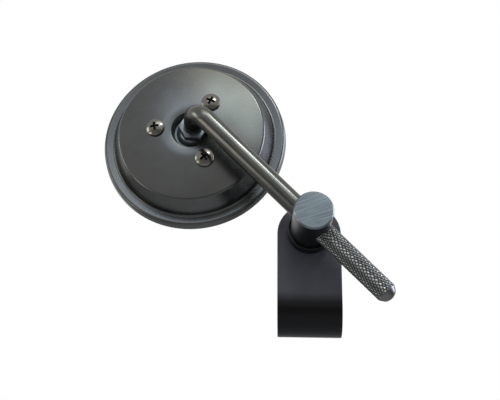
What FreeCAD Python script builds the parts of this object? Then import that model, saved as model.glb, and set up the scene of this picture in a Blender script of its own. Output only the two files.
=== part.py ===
"""Round clamp-on motorcycle mirror, seen from its back.

A folded strap grips the handlebar. A turned post swivels on the strap, carries the bent stem in a
cross bore and is locked by a knurled handle. A ball on the stem's end carries the round mirror head.

Frame: the origin is on the handlebar's axis, in the middle of the strap. X runs along the bar,
Z points up, the post points to -Y and the glass faces +Y. Lengths are millimetres, angles degrees.
"""
import FreeCAD, Part
import math
import operator
import os
import Sketcher

SIZES = (
    # Clamp strap
    ("bar_diameter", 22.2, "handlebar that the strap grips"),
    ("strap_thickness", 2.3, "sheet steel"),
    ("strap_width", 31.0, "along the bar; the leg ends are half rounds of this width"),
    ("strap_edge_round", 0.4, "rolled edges of the outer faces"),
    ("pivot_height", 34.6, "post axis above the bar's axis"),
    # Swivel
    ("running_clearance", 0.05, "radial play of pins and threads"),
    ("stud_diameter", 8.0, "threaded tail of the post, through both legs"),
    ("stud_tail", 2.0, "stud past its nut"),
    ("stud_lead", 0.8, "bevel of the stud's end"),
    ("spacer_diameter", 12.0, "tube that holds the legs apart"),
    ("collar_diameter", 21.2, "collar under the post"),
    ("collar_thickness", 6.0, ""),
    ("collar_chamfer", 0.5, ""),
    ("friction_washer_diameter", 17.0, "nylon disc between collar and post"),
    ("friction_washer_thickness", 0.8, ""),
    ("flat_washer_diameter", 17.0, ""),
    ("flat_washer_thickness", 1.6, ""),
    ("spring_washer_diameter", 14.0, ""),
    ("spring_washer_thickness", 2.0, ""),
    ("spring_washer_slit", 1.2, ""),
    ("nut_across_flats", 13.0, "both M8 nuts"),
    ("nut_bevel", 0.25, "every nut: its end face stands back from the flats"),
    ("nut_bevel_angle", 30.0, ""),
    ("clamp_nut_height", 6.5, ""),
    # Post
    ("post_diameter", 18.8, ""),
    ("post_height", 24.4, ""),
    ("post_chamfer", 0.7, ""),
    ("rod_height", 10.2, "rod axis above the foot of the post"),
    # Stem
    ("rod_diameter", 10.0, "round bar of the stem"),
    ("arm_reach", 81.3, "post axis to the corner of the elbow"),
    ("arm_angle", 45.6, "arm above the horizontal, to the left"),
    ("arm_roll", 6.8, "turn of the bent end about the arm"),
    ("bend_radius", 8.5, "centre line of the elbow"),
    ("elbow_drop", 25.7, "corner of the elbow to the ball's centre"),
    ("rod_seat", 4.0, "floor of the stem's seat from the post axis"),
    ("tail_diameter", 6.0, "threaded tail that the handle screws on"),
    ("tail_reach", 22.0, "end of the tail from the post axis"),
    ("neck_gap", 0.8, "bare thread between rod and lock nut"),
    # Locking handle
    ("handle_diameter", 10.3, "over the points of the knurl"),
    ("handle_reach", 51.5, "end of the handle from the post axis"),
    ("handle_seat", 4.5, "floor of the handle's seat from the post axis"),
    ("handle_nose_diameter", 9.4, "plain end inside the post"),
    ("handle_bore_depth", 20.0, "tapped hole from the nose"),
    ("knurl_start", 7.6, "first row of the knurl from the post axis, just inside the post"),
    ("knurl_depth", 0.3, ""),
    ("knurl_count", 22, "diamonds around"),
    ("knurl_pitch", 2.55, "length of one diamond"),
    ("tip_diameter", 4.4, "flat at the handle's end"),
    ("tip_length", 2.7, "bevel of the handle's end"),
    # Ball joint
    ("ball_diameter", 16.0, ""),
    ("ball_top", 5.4, "flat under the nut, above the ball's centre"),
    ("ball_bottom", 5.2, "flat on the glass side"),
    ("lock_nut_height", 4.0, "thin nut against the ball"),
    ("seat_lip", 2.9, "visible lip of the upper seat above the ball's centre"),
    ("seat_split", 0.8, "half of the gap between the two seats"),
    ("upper_seat_diameter", 28.0, ""),
    ("upper_seat_recess", 17.3, "well round the nut, at its floor"),
    ("seat_wall", 0.7, "from the ball to the plate's cup"),
    ("lower_seat_depth", 4.6, "end of the spherical part below the centre"),
    # Mirror head, heights from the plane of its front edge
    ("head_pan", 6.1, "mirror axis turned to the left of the bike's axis"),
    ("screw_angle", 55.6, "first screw round the head"),
    ("ball_level", 10.2, "ball centre"),
    ("rim_inside_diameter", 93.2, "front edge, inside the sheet"),
    ("rim_corner_diameter", 92.0, "back corner of the rim, inside"),
    ("rim_depth", 3.5, "back corner of the rim, inside"),
    ("bowl_foot_diameter", 82.6, "foot of the bowl on the rim, inside"),
    ("bowl_foot_depth", 2.7, ""),
    ("bowl_top_diameter", 73.5, "knuckle between bowl and dome, inside"),
    ("bowl_top_depth", 13.65, ""),
    ("dome_depth", 17.3, "crown of the dome, inside"),
    ("shell_thickness", 1.2, "pressed sheet steel"),
    ("rim_fold", 0.3, "radius of the fold, on its hollow side"),
    ("foot_fold", 1.0, "radius of the fold, on its hollow side"),
    ("dome_fold", 0.4, "radius of the fold, on its hollow side"),
    ("stem_hole_diameter", 19.5, ""),
    ("stem_hole_round", 0.8, "edge of the hole, rolled inwards"),
    # Screws and socket plate
    ("screw_circle_diameter", 36.0, ""),
    ("screw_count", 3, ""),
    ("screw_diameter", 5.0, ""),
    ("screw_hole_clearance", 0.25, "radial, in shell and plate"),
    ("screw_length", 12.0, "under the head"),
    ("screw_head_diameter", 9.5, ""),
    ("screw_head_height", 3.4, ""),
    ("screw_head_edge", 1.3, "straight side of the head"),
    ("recess_width", 1.3, "blade of the cross recess"),
    ("recess_span", 4.9, ""),
    ("recess_depth", 2.1, ""),
    ("plate_nut_across_flats", 8.0, "M5 nuts in front of the plate"),
    ("plate_nut_height", 4.0, ""),
    ("plate_thickness", 1.5, "pressed sheet steel"),
    ("plate_diameter", 48.0, ""),
    ("plate_level", 11.2, "back face of the plate's flange at the screws"),
    ("plate_gap", 0.3, "between the flange and the upper seat's shoulder"),
    ("plate_hole_diameter", 13.8, "under the ball"),
    # Glass
    ("glass_thickness", 1.8, ""),
    ("glass_curve", 1200.0, "radius of the convex glass"),
    ("glass_play", 0.4, "between glass edge and rim"),
    ("glass_level", 0.25, "edge of the glass behind the front edge"),
    ("pad_width", 3.0, "bonding tape behind the glass"),
)


class Length:
    """A size as a number together with the sheet expression that gives it."""

    def __init__(self, value, text):
        self.value = float(value)
        self.text = text

    def __add__(self, other):
        return combine(self, "+", other)

    def __radd__(self, other):
        return combine(other, "+", self)

    def __sub__(self, other):
        return combine(self, "-", other)

    def __rsub__(self, other):
        return combine(other, "-", self)

    def __mul__(self, other):
        return combine(self, "*", other)

    def __rmul__(self, other):
        return combine(other, "*", self)

    def __truediv__(self, other):
        return combine(self, "/", other)

    def __rtruediv__(self, other):
        return combine(other, "/", self)

    def __neg__(self):
        return Length(-self.value, "(-%s)" % self.text)


SIGNS = {"+": operator.add, "-": operator.sub, "*": operator.mul, "/": operator.truediv}


def as_length(item):
    """Take a Length as it is and a plain number as a constant."""
    if isinstance(item, Length):
        return item
    return Length(item, repr(item))


def combine(left, sign, right):
    """Join two sizes by one of the four rules of arithmetic."""
    left = as_length(left)
    right = as_length(right)
    value = SIGNS[sign](left.value, right.value)
    return Length(value, "(%s %s %s)" % (left.text, sign, right.text))


def root(item):
    """Square root of a size."""
    return Length(math.sqrt(item.value), "sqrt(%s)" % item.text)


def tangent(angle):
    """Tangent of an angle of the sheet."""
    return Length(math.tan(math.radians(angle.value)), "tan(%s * 1 deg)" % angle.text)


def leg(longest, other):
    """Second leg of a right triangle from its longest side and one leg."""
    return root(longest * longest - other * other)


# Distance below which two edges count as the same
SAME_PLACE = 0.01

doc = FreeCAD.newDocument("mirror")
sheet = doc.addObject("Spreadsheet::Sheet", "Sizes")
for row, (alias, number, meaning) in enumerate(SIZES, start=1):
    sheet.set("A%d" % row, alias)
    sheet.set("B%d" % row, str(number))
    sheet.setAlias("B%d" % row, alias)
    sheet.set("C%d" % row, meaning)
doc.recompute()


def size(alias):
    """Read one aliased cell of the sheet."""
    return Length(sheet.get(alias), "Sizes." + alias)


# Sketches and features

def new_body(label):
    """Start a sub-part that is built from sketched features."""
    body = doc.addObject("PartDesign::Body", label)
    body.Label = label
    return body


def sketch_on(body, plane, shift=(0, 0, 0)):
    """Attach a sketch to one of the body's origin planes, moved in the plane's own axes."""
    sketch = body.newObject("Sketcher::SketchObject", body.Name + "_sketch")
    support = [item for item in body.Origin.OriginFeatures if item.Role == plane]
    sketch.AttachmentSupport = (support[0], [""])
    sketch.MapMode = "FlatFace"
    steps = [as_length(item) for item in shift]
    sketch.AttachmentOffset.Base = FreeCAD.Vector(*[step.value for step in steps])
    for axis, step in zip("xyz", steps):
        sketch.setExpression("AttachmentOffset.Base." + axis, step.text)
    return sketch


def pin(sketch, geometry, point, x, y):
    """Tie a point of the sketch to its two coordinates."""
    for axis, kind, coordinate in ((-2, "DistanceX", x), (-1, "DistanceY", y)):
        coordinate = as_length(coordinate)
        if coordinate.value == 0:
            sketch.addConstraint(Sketcher.Constraint("PointOnObject", geometry, point, axis))
        else:
            index = sketch.addConstraint(
                Sketcher.Constraint(kind, -1, 1, geometry, point, coordinate.value))
            sketch.setExpression("Constraints[%d]" % index, coordinate.text)


def point_of(corner):
    """Corner of an outline as a vector in its sketch."""
    return FreeCAD.Vector(as_length(corner[0]).value, as_length(corner[1]).value, 0)


def add_run(sketch, corner, following):
    """Draw one line or arc of an outline and say which of its ends starts and ends it."""
    begin = point_of(corner)
    end = point_of(following)
    if len(corner) == 2:
        index = sketch.addGeometry(Part.LineSegment(begin, end), False)
        return index, 1, 2
    radius = as_length(corner[2])
    turn = corner[3]
    chord = end - begin
    half = chord.Length / 2
    height = math.sqrt(max(radius.value ** 2 - half ** 2, 0.0))
    across = FreeCAD.Vector(-chord.y, chord.x, 0).normalize()
    centre = (begin + end) / 2 + across * (height * turn)
    first, last = (begin, end) if turn > 0 else (end, begin)
    angles = [math.atan2(item.y - centre.y, item.x - centre.x) for item in (first, last)]
    circle = Part.Circle(centre, FreeCAD.Vector(0, 0, 1), radius.value)
    index = sketch.addGeometry(Part.ArcOfCircle(circle, *angles), False)
    row = sketch.addConstraint(Sketcher.Constraint("Radius", index, radius.value))
    sketch.setExpression("Constraints[%d]" % row, radius.text)
    return (index, 1, 2) if turn > 0 else (index, 2, 1)


def draw(sketch, corners, closed=True):
    """Draw an outline through its corners, with every corner tied to the sheet.

    A corner is (x, y), or (x, y, radius, turn) where an arc leads to the next corner:
    turn is 1 for an arc that bends left and -1 for one that bends right.
    """
    following = corners[1:] + corners[:1]
    count = len(corners) if closed else len(corners) - 1
    runs = [add_run(sketch, corners[i], following[i]) for i in range(count)]
    for (index, start, _), corner in zip(runs, corners):
        pin(sketch, index, start, corner[0], corner[1])
    for (index, _, end), (after, start, _) in zip(runs, runs[1:] + runs[:1] if closed else runs[1:]):
        sketch.addConstraint(Sketcher.Constraint("Coincident", index, end, after, start))
    if not closed:
        index, _, end = runs[-1]
        pin(sketch, index, end, corners[-1][0], corners[-1][1])
    return sketch


def draw_circle(sketch, radius, x=0, y=0):
    """Draw a circle with its radius and centre tied to the sheet."""
    centre = point_of((x, y))
    circle = Part.Circle(centre, FreeCAD.Vector(0, 0, 1), radius.value)
    index = sketch.addGeometry(circle, False)
    row = sketch.addConstraint(Sketcher.Constraint("Radius", index, radius.value))
    sketch.setExpression("Constraints[%d]" % row, radius.text)
    pin(sketch, index, 3, x, y)
    return sketch


def feature(body, kind, sketch, **settings):
    """Add a sketched feature; sizes are bound to the sheet and other settings are set."""
    item = body.newObject("PartDesign::" + kind, body.Name + "_" + kind.lower())
    item.Profile = sketch
    for name, setting in settings.items():
        if isinstance(setting, Length):
            item.setExpression(name, setting.text)
        else:
            setattr(item, name, setting)
    return item


def revolve(body, sketch, kind="Revolution", axis="V_Axis"):
    """Turn a sketch once round one of its own axes."""
    return feature(body, kind, sketch, ReferenceAxis=(sketch, [axis]), Angle=360)


def turned(label, corners, placement):
    """A piece turned from a half section whose second coordinate runs along the axis."""
    body = new_body(label)
    revolve(body, draw(sketch_on(body, "XZ_Plane"), corners))
    body.Placement = placement
    return body


def ring(label, outer, inner, start, end, placement):
    """A plain ring round its axis, between two heights."""
    corners = [(inner, start), (outer, start), (outer, end), (inner, end)]
    return turned(label, corners, placement)


def near(first, second):
    """Whether two numbers name the same place on a shape."""
    return abs(first - second) < SAME_PLACE


def is_circle(edge, radius):
    """Whether an edge is part of a circle of the given radius."""
    if edge.Degenerated or not isinstance(edge.Curve, Part.Circle):
        return False
    return near(edge.Curve.Radius, radius.value)


def circles_at(shape, radius, height):
    """Names of the circular edges round Z that have the given radius and height."""
    return [
        "Edge%d" % number for number, edge in enumerate(shape.Edges, start=1)
        if is_circle(edge, radius) and near(edge.Curve.Center.z, height.value)]


def fillet(body, base, edges, radius):
    """Round the named edges of the body's last feature."""
    item = body.newObject("PartDesign::Fillet", body.Name + "_fillet")
    item.Base = (base, edges)
    item.setExpression("Radius", radius.text)
    doc.recompute()
    return item


def cap_radius(edge, rise):
    """Radius of the sphere whose cap has this edge radius and rise."""
    return (edge * edge + rise * rise) / (2 * rise)


def hex_nut(label, flats, thread, height, start, placement):
    """A bevelled hexagon nut for one thread size, from one height along its axis."""
    corner = flats / math.sqrt(3)
    body = new_body(label)
    sketch = sketch_on(body, "XY_Plane", (0, 0, start))
    turns = [(math.cos(math.radians(60 * i)), math.sin(math.radians(60 * i))) for i in range(6)]
    draw(sketch, [(corner * round(x, 9), corner * round(y, 9)) for x, y in turns])
    draw_circle(sketch, thread / 2 + size("running_clearance"))
    feature(body, "Pad", sketch, Length=height)
    face = flats / 2 - size("nut_bevel")
    drop = (flats - face) * tangent(size("nut_bevel_angle"))
    for edge, inward in ((start, drop), (start + height, -drop)):
        triangle = [(face, edge), (flats, edge), (flats, edge + inward)]
        doc.recompute()
        revolve(body, draw(sketch_on(body, "XZ_Plane"), triangle), "Groove")
    body.Placement = placement
    return body


# Frames of the sub-assemblies

def frame_from(origin, x_axis, z_axis):
    """Placement with its Z along one direction and its X as near as can be to another."""
    y_axis = z_axis.cross(x_axis)
    rotation = FreeCAD.Rotation(x_axis, y_axis, z_axis, "ZXY")
    return FreeCAD.Placement(origin, rotation)


def degrees(alias):
    """Angle of the sheet in radians."""
    return math.radians(size(alias).value)


RIGHT = FreeCAD.Vector(1, 0, 0)
strap_outside = size("bar_diameter") / 2 + size("strap_thickness")
collar_top = strap_outside + size("collar_thickness")
post_foot = collar_top + size("friction_washer_thickness")
rod_level = post_foot + size("rod_height")

pivot_origin = FreeCAD.Vector(0, 0, size("pivot_height").value)
pivot_frame = frame_from(pivot_origin, RIGHT, FreeCAD.Vector(0, -1, 0))

arm_angle = degrees("arm_angle")
arm_roll = degrees("arm_roll")
to_handle = FreeCAD.Vector(math.cos(arm_angle), 0, -math.sin(arm_angle))
across_arm = FreeCAD.Vector(math.sin(arm_angle), 0, math.cos(arm_angle))
to_elbow = FreeCAD.Vector(0, -math.cos(arm_roll), 0) + across_arm * math.sin(arm_roll)
rod_centre = pivot_origin + FreeCAD.Vector(0, -rod_level.value, 0)
post_frame = frame_from(pivot_origin, to_handle, FreeCAD.Vector(0, -1, 0))
stem_frame = frame_from(rod_centre, -to_handle, -to_elbow)
handle_frame = frame_from(rod_centre, to_elbow, to_handle)

elbow = rod_centre - to_handle * size("arm_reach").value
ball_centre = elbow - to_elbow * size("elbow_drop").value
ball_frame = frame_from(ball_centre, RIGHT, to_elbow)

head_pan = degrees("head_pan")
mirror_axis = FreeCAD.Vector(-math.sin(head_pan), -math.cos(head_pan), 0)
head_origin = ball_centre - mirror_axis * size("ball_level").value
first_screw = FreeCAD.Rotation(mirror_axis, size("screw_angle").value).multVec(RIGHT)
head_frame = frame_from(head_origin, first_screw, mirror_axis)


# Clamp strap: sheet folded round the bar, both leg ends rounded and drilled

def make_clamp_bracket():
    """Folded strap with a drilled hole for the stud through both legs."""
    inside = size("bar_diameter") / 2
    outside = strap_outside
    half = size("strap_width") / 2
    pivot = size("pivot_height")
    top = pivot + half
    body = new_body("clamp_bracket")
    section = [
        (-outside, 0, outside, 1), (0, -outside, outside, 1), (outside, 0), (outside, top),
        (inside, top), (inside, 0, inside, -1), (0, -inside, inside, -1), (-inside, 0),
        (-inside, top), (-outside, top),
    ]
    sketch = draw(sketch_on(body, "YZ_Plane"), section)
    feature(body, "Pad", sketch, SideType="Symmetric", Length=size("strap_width"))
    beyond = half + size("strap_thickness")
    waste = [
        (-beyond, pivot), (-half, pivot, half, -1), (0, top, half, -1), (half, pivot),
        (beyond, pivot), (beyond, pivot + beyond), (-beyond, pivot + beyond),
    ]
    doc.recompute()
    sketch = draw(sketch_on(body, "XZ_Plane"), waste)
    feature(body, "Pocket", sketch, SideType="Symmetric", Type="ThroughAll")
    hole = size("stud_diameter") / 2 + size("running_clearance")
    sketch = draw_circle(sketch_on(body, "XZ_Plane"), hole, 0, pivot)
    drilled = feature(body, "Pocket", sketch, SideType="Symmetric", Type="ThroughAll")
    doc.recompute()
    outer_edges = []
    for number, edge in enumerate(drilled.Shape.Edges, start=1):
        box = edge.BoundBox
        on_leg = near(box.YLength, 0) and near(abs(box.YMin), outside.value)
        on_bend = near(box.ZMin, -outside.value) and near(box.XLength, 0)
        level = near(box.ZLength, 0)
        if on_bend or (on_leg and not level and not is_circle(edge, hole)):
            outer_edges.append("Edge%d" % number)
    fillet(body, drilled, outer_edges, size("strap_edge_round"))
    return body


# Swivel: post with its stud, spacer, collar, washers and nut, all along the post's axis

def make_swivel():
    """Every piece on the swivel's axis, from the back nut to the flat end of the post."""
    clearance = size("running_clearance")
    stud = size("stud_diameter") / 2
    hole = stud + clearance
    leg_inside = size("bar_diameter") / 2
    ring("spacer_tube", size("spacer_diameter") / 2, hole, -leg_inside, leg_inside, pivot_frame)

    collar = size("collar_diameter") / 2
    chamfer = size("collar_chamfer")
    turned("pivot_collar", [
        (hole, strap_outside), (collar, strap_outside), (collar, collar_top - chamfer),
        (collar - chamfer, collar_top), (hole, collar_top)], pivot_frame)
    ring("friction_washer", size("friction_washer_diameter") / 2, hole, collar_top, post_foot,
         pivot_frame)

    flat_back = -strap_outside - size("flat_washer_thickness")
    spring_back = flat_back - size("spring_washer_thickness")
    nut_back = spring_back - size("clamp_nut_height")
    ring("flat_washer", size("flat_washer_diameter") / 2, hole, flat_back, -strap_outside, pivot_frame)
    spring = ring("spring_washer", size("spring_washer_diameter") / 2, hole, spring_back, flat_back,
                  pivot_frame)
    half_slit = size("spring_washer_slit") / 2
    far = size("spring_washer_diameter")
    doc.recompute()
    slit = [(0, -half_slit), (far, -half_slit), (far, half_slit), (0, half_slit)]
    feature(spring, "Pocket", draw(sketch_on(spring, "XY_Plane"), slit),
            SideType="Symmetric", Type="ThroughAll")
    hex_nut("clamp_nut", size("nut_across_flats"), size("stud_diameter"), size("clamp_nut_height"),
            nut_back, pivot_frame)

    post = size("post_diameter") / 2
    post_top = post_foot + size("post_height")
    bevel = size("post_chamfer")
    stud_end = nut_back - size("stud_tail")
    lead = size("stud_lead")
    body = turned("pivot_post", [
        (0, stud_end), (stud - lead, stud_end), (stud, stud_end + lead), (stud, post_foot),
        (post, post_foot), (post, post_top - bevel), (post - bevel, post_top), (0, post_top)],
        post_frame)
    rod_hole = size("rod_diameter") / 2 + clearance
    tail_hole = size("tail_diameter") / 2 + clearance
    handle_hole = size("handle_diameter") / 2 + clearance
    doc.recompute()
    bore = [
        (-post - bevel, 0), (post + bevel, 0), (post + bevel, handle_hole),
        (size("handle_seat"), handle_hole), (size("handle_seat"), tail_hole),
        (-size("rod_seat"), tail_hole), (-size("rod_seat"), rod_hole), (-post - bevel, rod_hole)]
    sketch = draw(sketch_on(body, "XZ_Plane", (0, rod_level, 0)), bore)
    revolve(body, sketch, "Groove", "H_Axis")
    return body


# Stem: one bent bar with a threaded tail and a threaded neck

def make_stem():
    """Bent bar from the post to the ball."""
    reach = size("arm_reach")
    drop = size("elbow_drop")
    bend = size("bend_radius")
    seat = size("rod_seat")
    shoulder = drop - size("ball_top") - size("lock_nut_height") - size("neck_gap")
    body = new_body("stem")
    spine = sketch_on(body, "XZ_Plane")
    draw(spine, [(seat, 0), (reach - bend, 0, bend, 1), (reach, bend), (reach, shoulder)], closed=False)
    section = draw_circle(sketch_on(body, "YZ_Plane", (0, 0, seat)), size("rod_diameter") / 2)
    doc.recompute()
    feature(body, "AdditivePipe", section, Spine=(spine, ["Edge1", "Edge2", "Edge3"]))
    doc.recompute()
    tail = draw_circle(sketch_on(body, "YZ_Plane", (0, 0, seat)), size("tail_diameter") / 2)
    feature(body, "Pad", tail, Length=seat + size("tail_reach"), Reversed=True)
    doc.recompute()
    neck = draw_circle(sketch_on(body, "XY_Plane", (0, 0, shoulder)), size("stud_diameter") / 2, reach)
    feature(body, "Pad", neck, Length=drop - shoulder + size("ball_bottom"))
    body.Placement = stem_frame
    return body


# Locking handle: diamond knurl over a bored rod

def knurl_points(count, rows, pitch, start, valley, crest):
    """Corners and points of a diamond knurl on a cylinder, addressed in half steps.

    Two families of helical grooves cross in corners of the lower radius, and each diamond between
    them rises to a point of the upper radius. The sum of the two half-step numbers is even at a
    corner and odd at a point.
    """
    def place(around, along):
        turn = math.pi * around / count
        radius = valley if (around + along) % 2 == 0 else crest
        height = start + pitch * along / 2
        return FreeCAD.Vector(radius * math.cos(turn), radius * math.sin(turn), height)

    return [[place(around, along) for around in range(2 * count)] for along in range(2 * rows + 1)]


def knurl_solid(count, rows, pitch, start, valley, crest):
    """Closed solid of the knurled length, with each diamond as a low pyramid."""
    points = knurl_points(count, rows, pitch, start, valley, crest)
    around = 2 * count
    along = 2 * rows
    triangles = []
    for j in range(along + 1):
        for i in range(around):
            if (i + j) % 2 == 0:
                continue
            peak = points[j][i]
            left = points[j][i - 1]
            right = points[j][(i + 1) % around]
            if j < along:
                above = points[j + 1][i]
                triangles.append((peak, right, above))
                triangles.append((peak, above, left))
            if j > 0:
                below = points[j - 1][i]
                triangles.append((peak, left, below))
                triangles.append((peak, below, right))
    faces = [Part.Face(Part.makePolygon([*corners, corners[0]])) for corners in triangles]
    for end in (points[0], points[-1]):
        faces.append(Part.Face(Part.makePolygon([*end, end[0]])))
    solid = Part.makeSolid(Part.makeShell(faces))
    if solid.Volume < 0:
        solid.reverse()
    return solid


def make_lock_handle():
    """Knurled hand nut on the tail of the stem; it enters the post and seats on its plain nose."""
    crest = size("handle_diameter").value / 2
    valley = crest - size("knurl_depth").value
    nose = size("handle_nose_diameter").value / 2
    seat = size("handle_seat").value
    start = size("knurl_start").value
    reach = size("handle_reach").value
    pitch = size("knurl_pitch").value
    tip_start = reach - size("tip_length").value
    tip = size("tip_diameter").value / 2
    rows = int((tip_start - start) / pitch)
    knurl_end = start + rows * pitch
    knurl = knurl_solid(int(size("knurl_count").value), rows, pitch, start, valley, crest)
    outline = [(valley, tip_start), (tip, reach), (0, reach), (0, knurl_end), (valley, knurl_end)]
    corners = [FreeCAD.Vector(x, 0, z) for x, z in outline]
    section = Part.Face(Part.makePolygon([*corners, corners[0]]))
    end = section.revolve(FreeCAD.Vector(0, 0, 0), FreeCAD.Vector(0, 0, 1), 360)
    plain = Part.makeCylinder(nose, start - seat, FreeCAD.Vector(0, 0, seat))
    bore_radius = size("tail_diameter").value / 2 + size("running_clearance").value
    bore = Part.makeCylinder(bore_radius, size("handle_bore_depth").value, FreeCAD.Vector(0, 0, seat))
    handle = doc.addObject("Part::Feature", "lock_handle")
    handle.Shape = knurl.fuse([plain, end]).cut(bore)
    handle.Placement = handle_frame
    return handle


# Ball joint: ball, lock nut and the two seats

def dome_sphere():
    """Inside radius of the dome and height of its centre above the front edge."""
    edge = size("bowl_top_diameter") / 2
    radius = cap_radius(edge, size("dome_depth") - size("bowl_top_depth"))
    return radius, size("dome_depth") - radius


def outer_dome_radius():
    """Outside radius of the dome."""
    return dome_sphere()[0] + size("shell_thickness")


def plate_nut_front():
    """Front end of a nut along its screw, from the screw's seat."""
    circle = size("screw_circle_diameter") / 2
    outside = outer_dome_radius()
    depth = dome_sphere()[1] + leg(outside, circle) - size("plate_level")
    plate_front = depth * leg(outside, circle) / outside + size("plate_thickness")
    return -plate_front - 2 * size("running_clearance") - size("plate_nut_height")


def seat_radius():
    """Outside radius of the seats where the plate's cup holds them."""
    return size("ball_diameter") / 2 + size("running_clearance") + size("seat_wall")


def cup_radius():
    """Inside radius of the plate's cup."""
    return seat_radius() + size("running_clearance")


def flange_level(place):
    """Height of the back face of the plate's flange, which lies square to the screws."""
    circle = size("screw_circle_diameter") / 2
    slope = circle / leg(outer_dome_radius(), circle)
    return size("plate_level") - slope * (place - circle)


def make_ball_joint():
    """Ball and nut on the stem's neck, and the seats that hold the ball in the head."""
    clearance = size("running_clearance")
    ball = size("ball_diameter") / 2
    bore = size("stud_diameter") / 2 + clearance
    top = size("ball_top")
    bottom = size("ball_bottom")
    turned("pivot_ball", [
        (bore, -bottom), (leg(ball, bottom), -bottom, ball, 1), (leg(ball, top), top), (bore, top)],
        ball_frame)
    hex_nut("stem_lock_nut", size("nut_across_flats"), size("stud_diameter"), size("lock_nut_height"),
            top, ball_frame)

    level = size("ball_level")
    socket = ball + clearance
    lip = size("seat_lip")
    split = size("seat_split")
    dome, dome_centre = dome_sphere()
    inner_dome = dome - clearance
    mouth = size("stem_hole_diameter") / 2 + clearance
    outer = size("upper_seat_diameter") / 2
    lower = seat_radius()
    shoulder = flange_level(cup_radius()) + size("plate_gap")
    turned("upper_ball_seat", [
        (leg(socket, split), level + split, socket, 1), (leg(socket, lip), level + lip),
        (size("upper_seat_recess") / 2, level + lip), (mouth, dome_centre + leg(inner_dome, mouth)),
        (outer, dome_centre + leg(inner_dome, outer)), (outer, shoulder), (lower, shoulder),
        (lower, level + split)], head_frame)

    depth = size("lower_seat_depth")
    foot = level - bottom + clearance
    turned("lower_ball_seat", [
        (leg(socket, depth), level - depth, socket, 1), (leg(socket, split), level - split),
        (lower, level - split), (lower, foot), (leg(socket, depth), foot)],
        head_frame)


# Mirror head: shell, socket plate, screws, tape and glass

def screw_seat():
    """Place of the first screw's seat on the dome, and lean of the screw square to the dome."""
    circle = size("screw_circle_diameter") / 2
    outside = outer_dome_radius()
    height = dome_sphere()[1] + leg(outside, circle)
    lean = math.degrees(math.asin(circle.value / outside.value))
    return circle, height, FreeCAD.Rotation(FreeCAD.Vector(0, 1, 0), lean)


def at_screws(label, shape):
    """One node of equal pieces, one at each screw's seat."""
    circle, height, lean = screw_seat()
    seat = FreeCAD.Placement(FreeCAD.Vector(circle.value, 0, height.value), lean)
    count = int(size("screw_count").value)
    copies = []
    for number in range(count):
        turn = FreeCAD.Placement(
            FreeCAD.Vector(), FreeCAD.Rotation(FreeCAD.Vector(0, 0, 1), 360 * number / count))
        copies.append(shape.transformed(turn.multiply(seat).toMatrix()))
    group = doc.addObject("Part::Feature", label)
    group.Shape = Part.makeCompound(copies)
    group.Placement = head_frame
    return group


def drill_screw_holes(body):
    """Drill the ring of leaning screw holes through the body's sheet."""
    circle, height, lean = screw_seat()
    sketch = sketch_on(body, "XY_Plane", (circle, 0, height))
    sketch.AttachmentOffset.Rotation = lean
    draw_circle(sketch, size("screw_diameter") / 2 + size("screw_hole_clearance"))
    hole = feature(body, "Pocket", sketch, SideType="Symmetric", Type="ThroughAll")
    doc.recompute()
    pattern = body.newObject("PartDesign::PolarPattern", body.Name + "_pattern")
    pattern.Originals = [hole]
    axis = [item for item in body.Origin.OriginFeatures if item.Role == "Z_Axis"]
    pattern.Axis = (axis[0], [""])
    pattern.Angle = 360
    pattern.setExpression("Occurrences", size("screw_count").text)
    body.Tip = pattern
    doc.recompute()
    return pattern


def make_mirror_shell():
    """Pressed shell: flared rim, bowl and dome of one sheet, open to the front."""
    wall = size("shell_thickness")
    rim = size("rim_inside_diameter") / 2
    corner = size("rim_corner_diameter") / 2
    corner_depth = size("rim_depth")
    foot = size("bowl_foot_diameter") / 2
    foot_depth = size("bowl_foot_depth")
    top = size("bowl_top_diameter") / 2
    top_depth = size("bowl_top_depth")
    hole = size("stem_hole_diameter") / 2
    dome, dome_centre = dome_sphere()

    # The outside corners stand off by the sheet's thickness, square to the leaning bowl
    lean = (foot - top) / (top_depth - foot_depth)
    stretch = root(1 + lean * lean)
    dome_cosine = leg(dome, top) / dome
    dome_slope = top / leg(dome, top)
    rise = wall * (1 / dome_cosine - dome_slope * stretch) / (1 - lean * dome_slope)
    outer_foot = foot + (stretch - lean) * wall
    outer_top = top + stretch * wall - lean * rise
    outer_top_depth = top_depth + rise
    crown = size("dome_depth") + wall
    outer_dome = cap_radius(outer_top, crown - outer_top_depth)
    hole_edge = crown - outer_dome + leg(outer_dome, hole)

    body = new_body("mirror_shell")
    last = revolve(body, draw(sketch_on(body, "XZ_Plane"), [
        (hole, dome_centre + leg(dome, hole), dome, -1), (top, top_depth), (foot, foot_depth),
        (corner, corner_depth), (rim, 0), (rim + wall, 0), (corner + wall, corner_depth + wall),
        (outer_foot, foot_depth + wall), (outer_top, outer_top_depth, outer_dome, 1),
        (hole, hole_edge)]))
    doc.recompute()
    folds = (
        (corner, corner_depth, size("rim_fold")),
        (corner + wall, corner_depth + wall, size("rim_fold") + wall),
        (foot, foot_depth, size("foot_fold") + wall),
        (outer_foot, foot_depth + wall, size("foot_fold")),
        (top, top_depth, size("dome_fold")),
        (outer_top, outer_top_depth, size("dome_fold") + wall),
        (hole, hole_edge, size("stem_hole_round")),
    )
    for radius, height, rounding in folds:
        last = fillet(body, last, circles_at(last.Shape, radius, height), rounding)
    drill_screw_holes(body)
    body.Placement = head_frame
    return body


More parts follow.
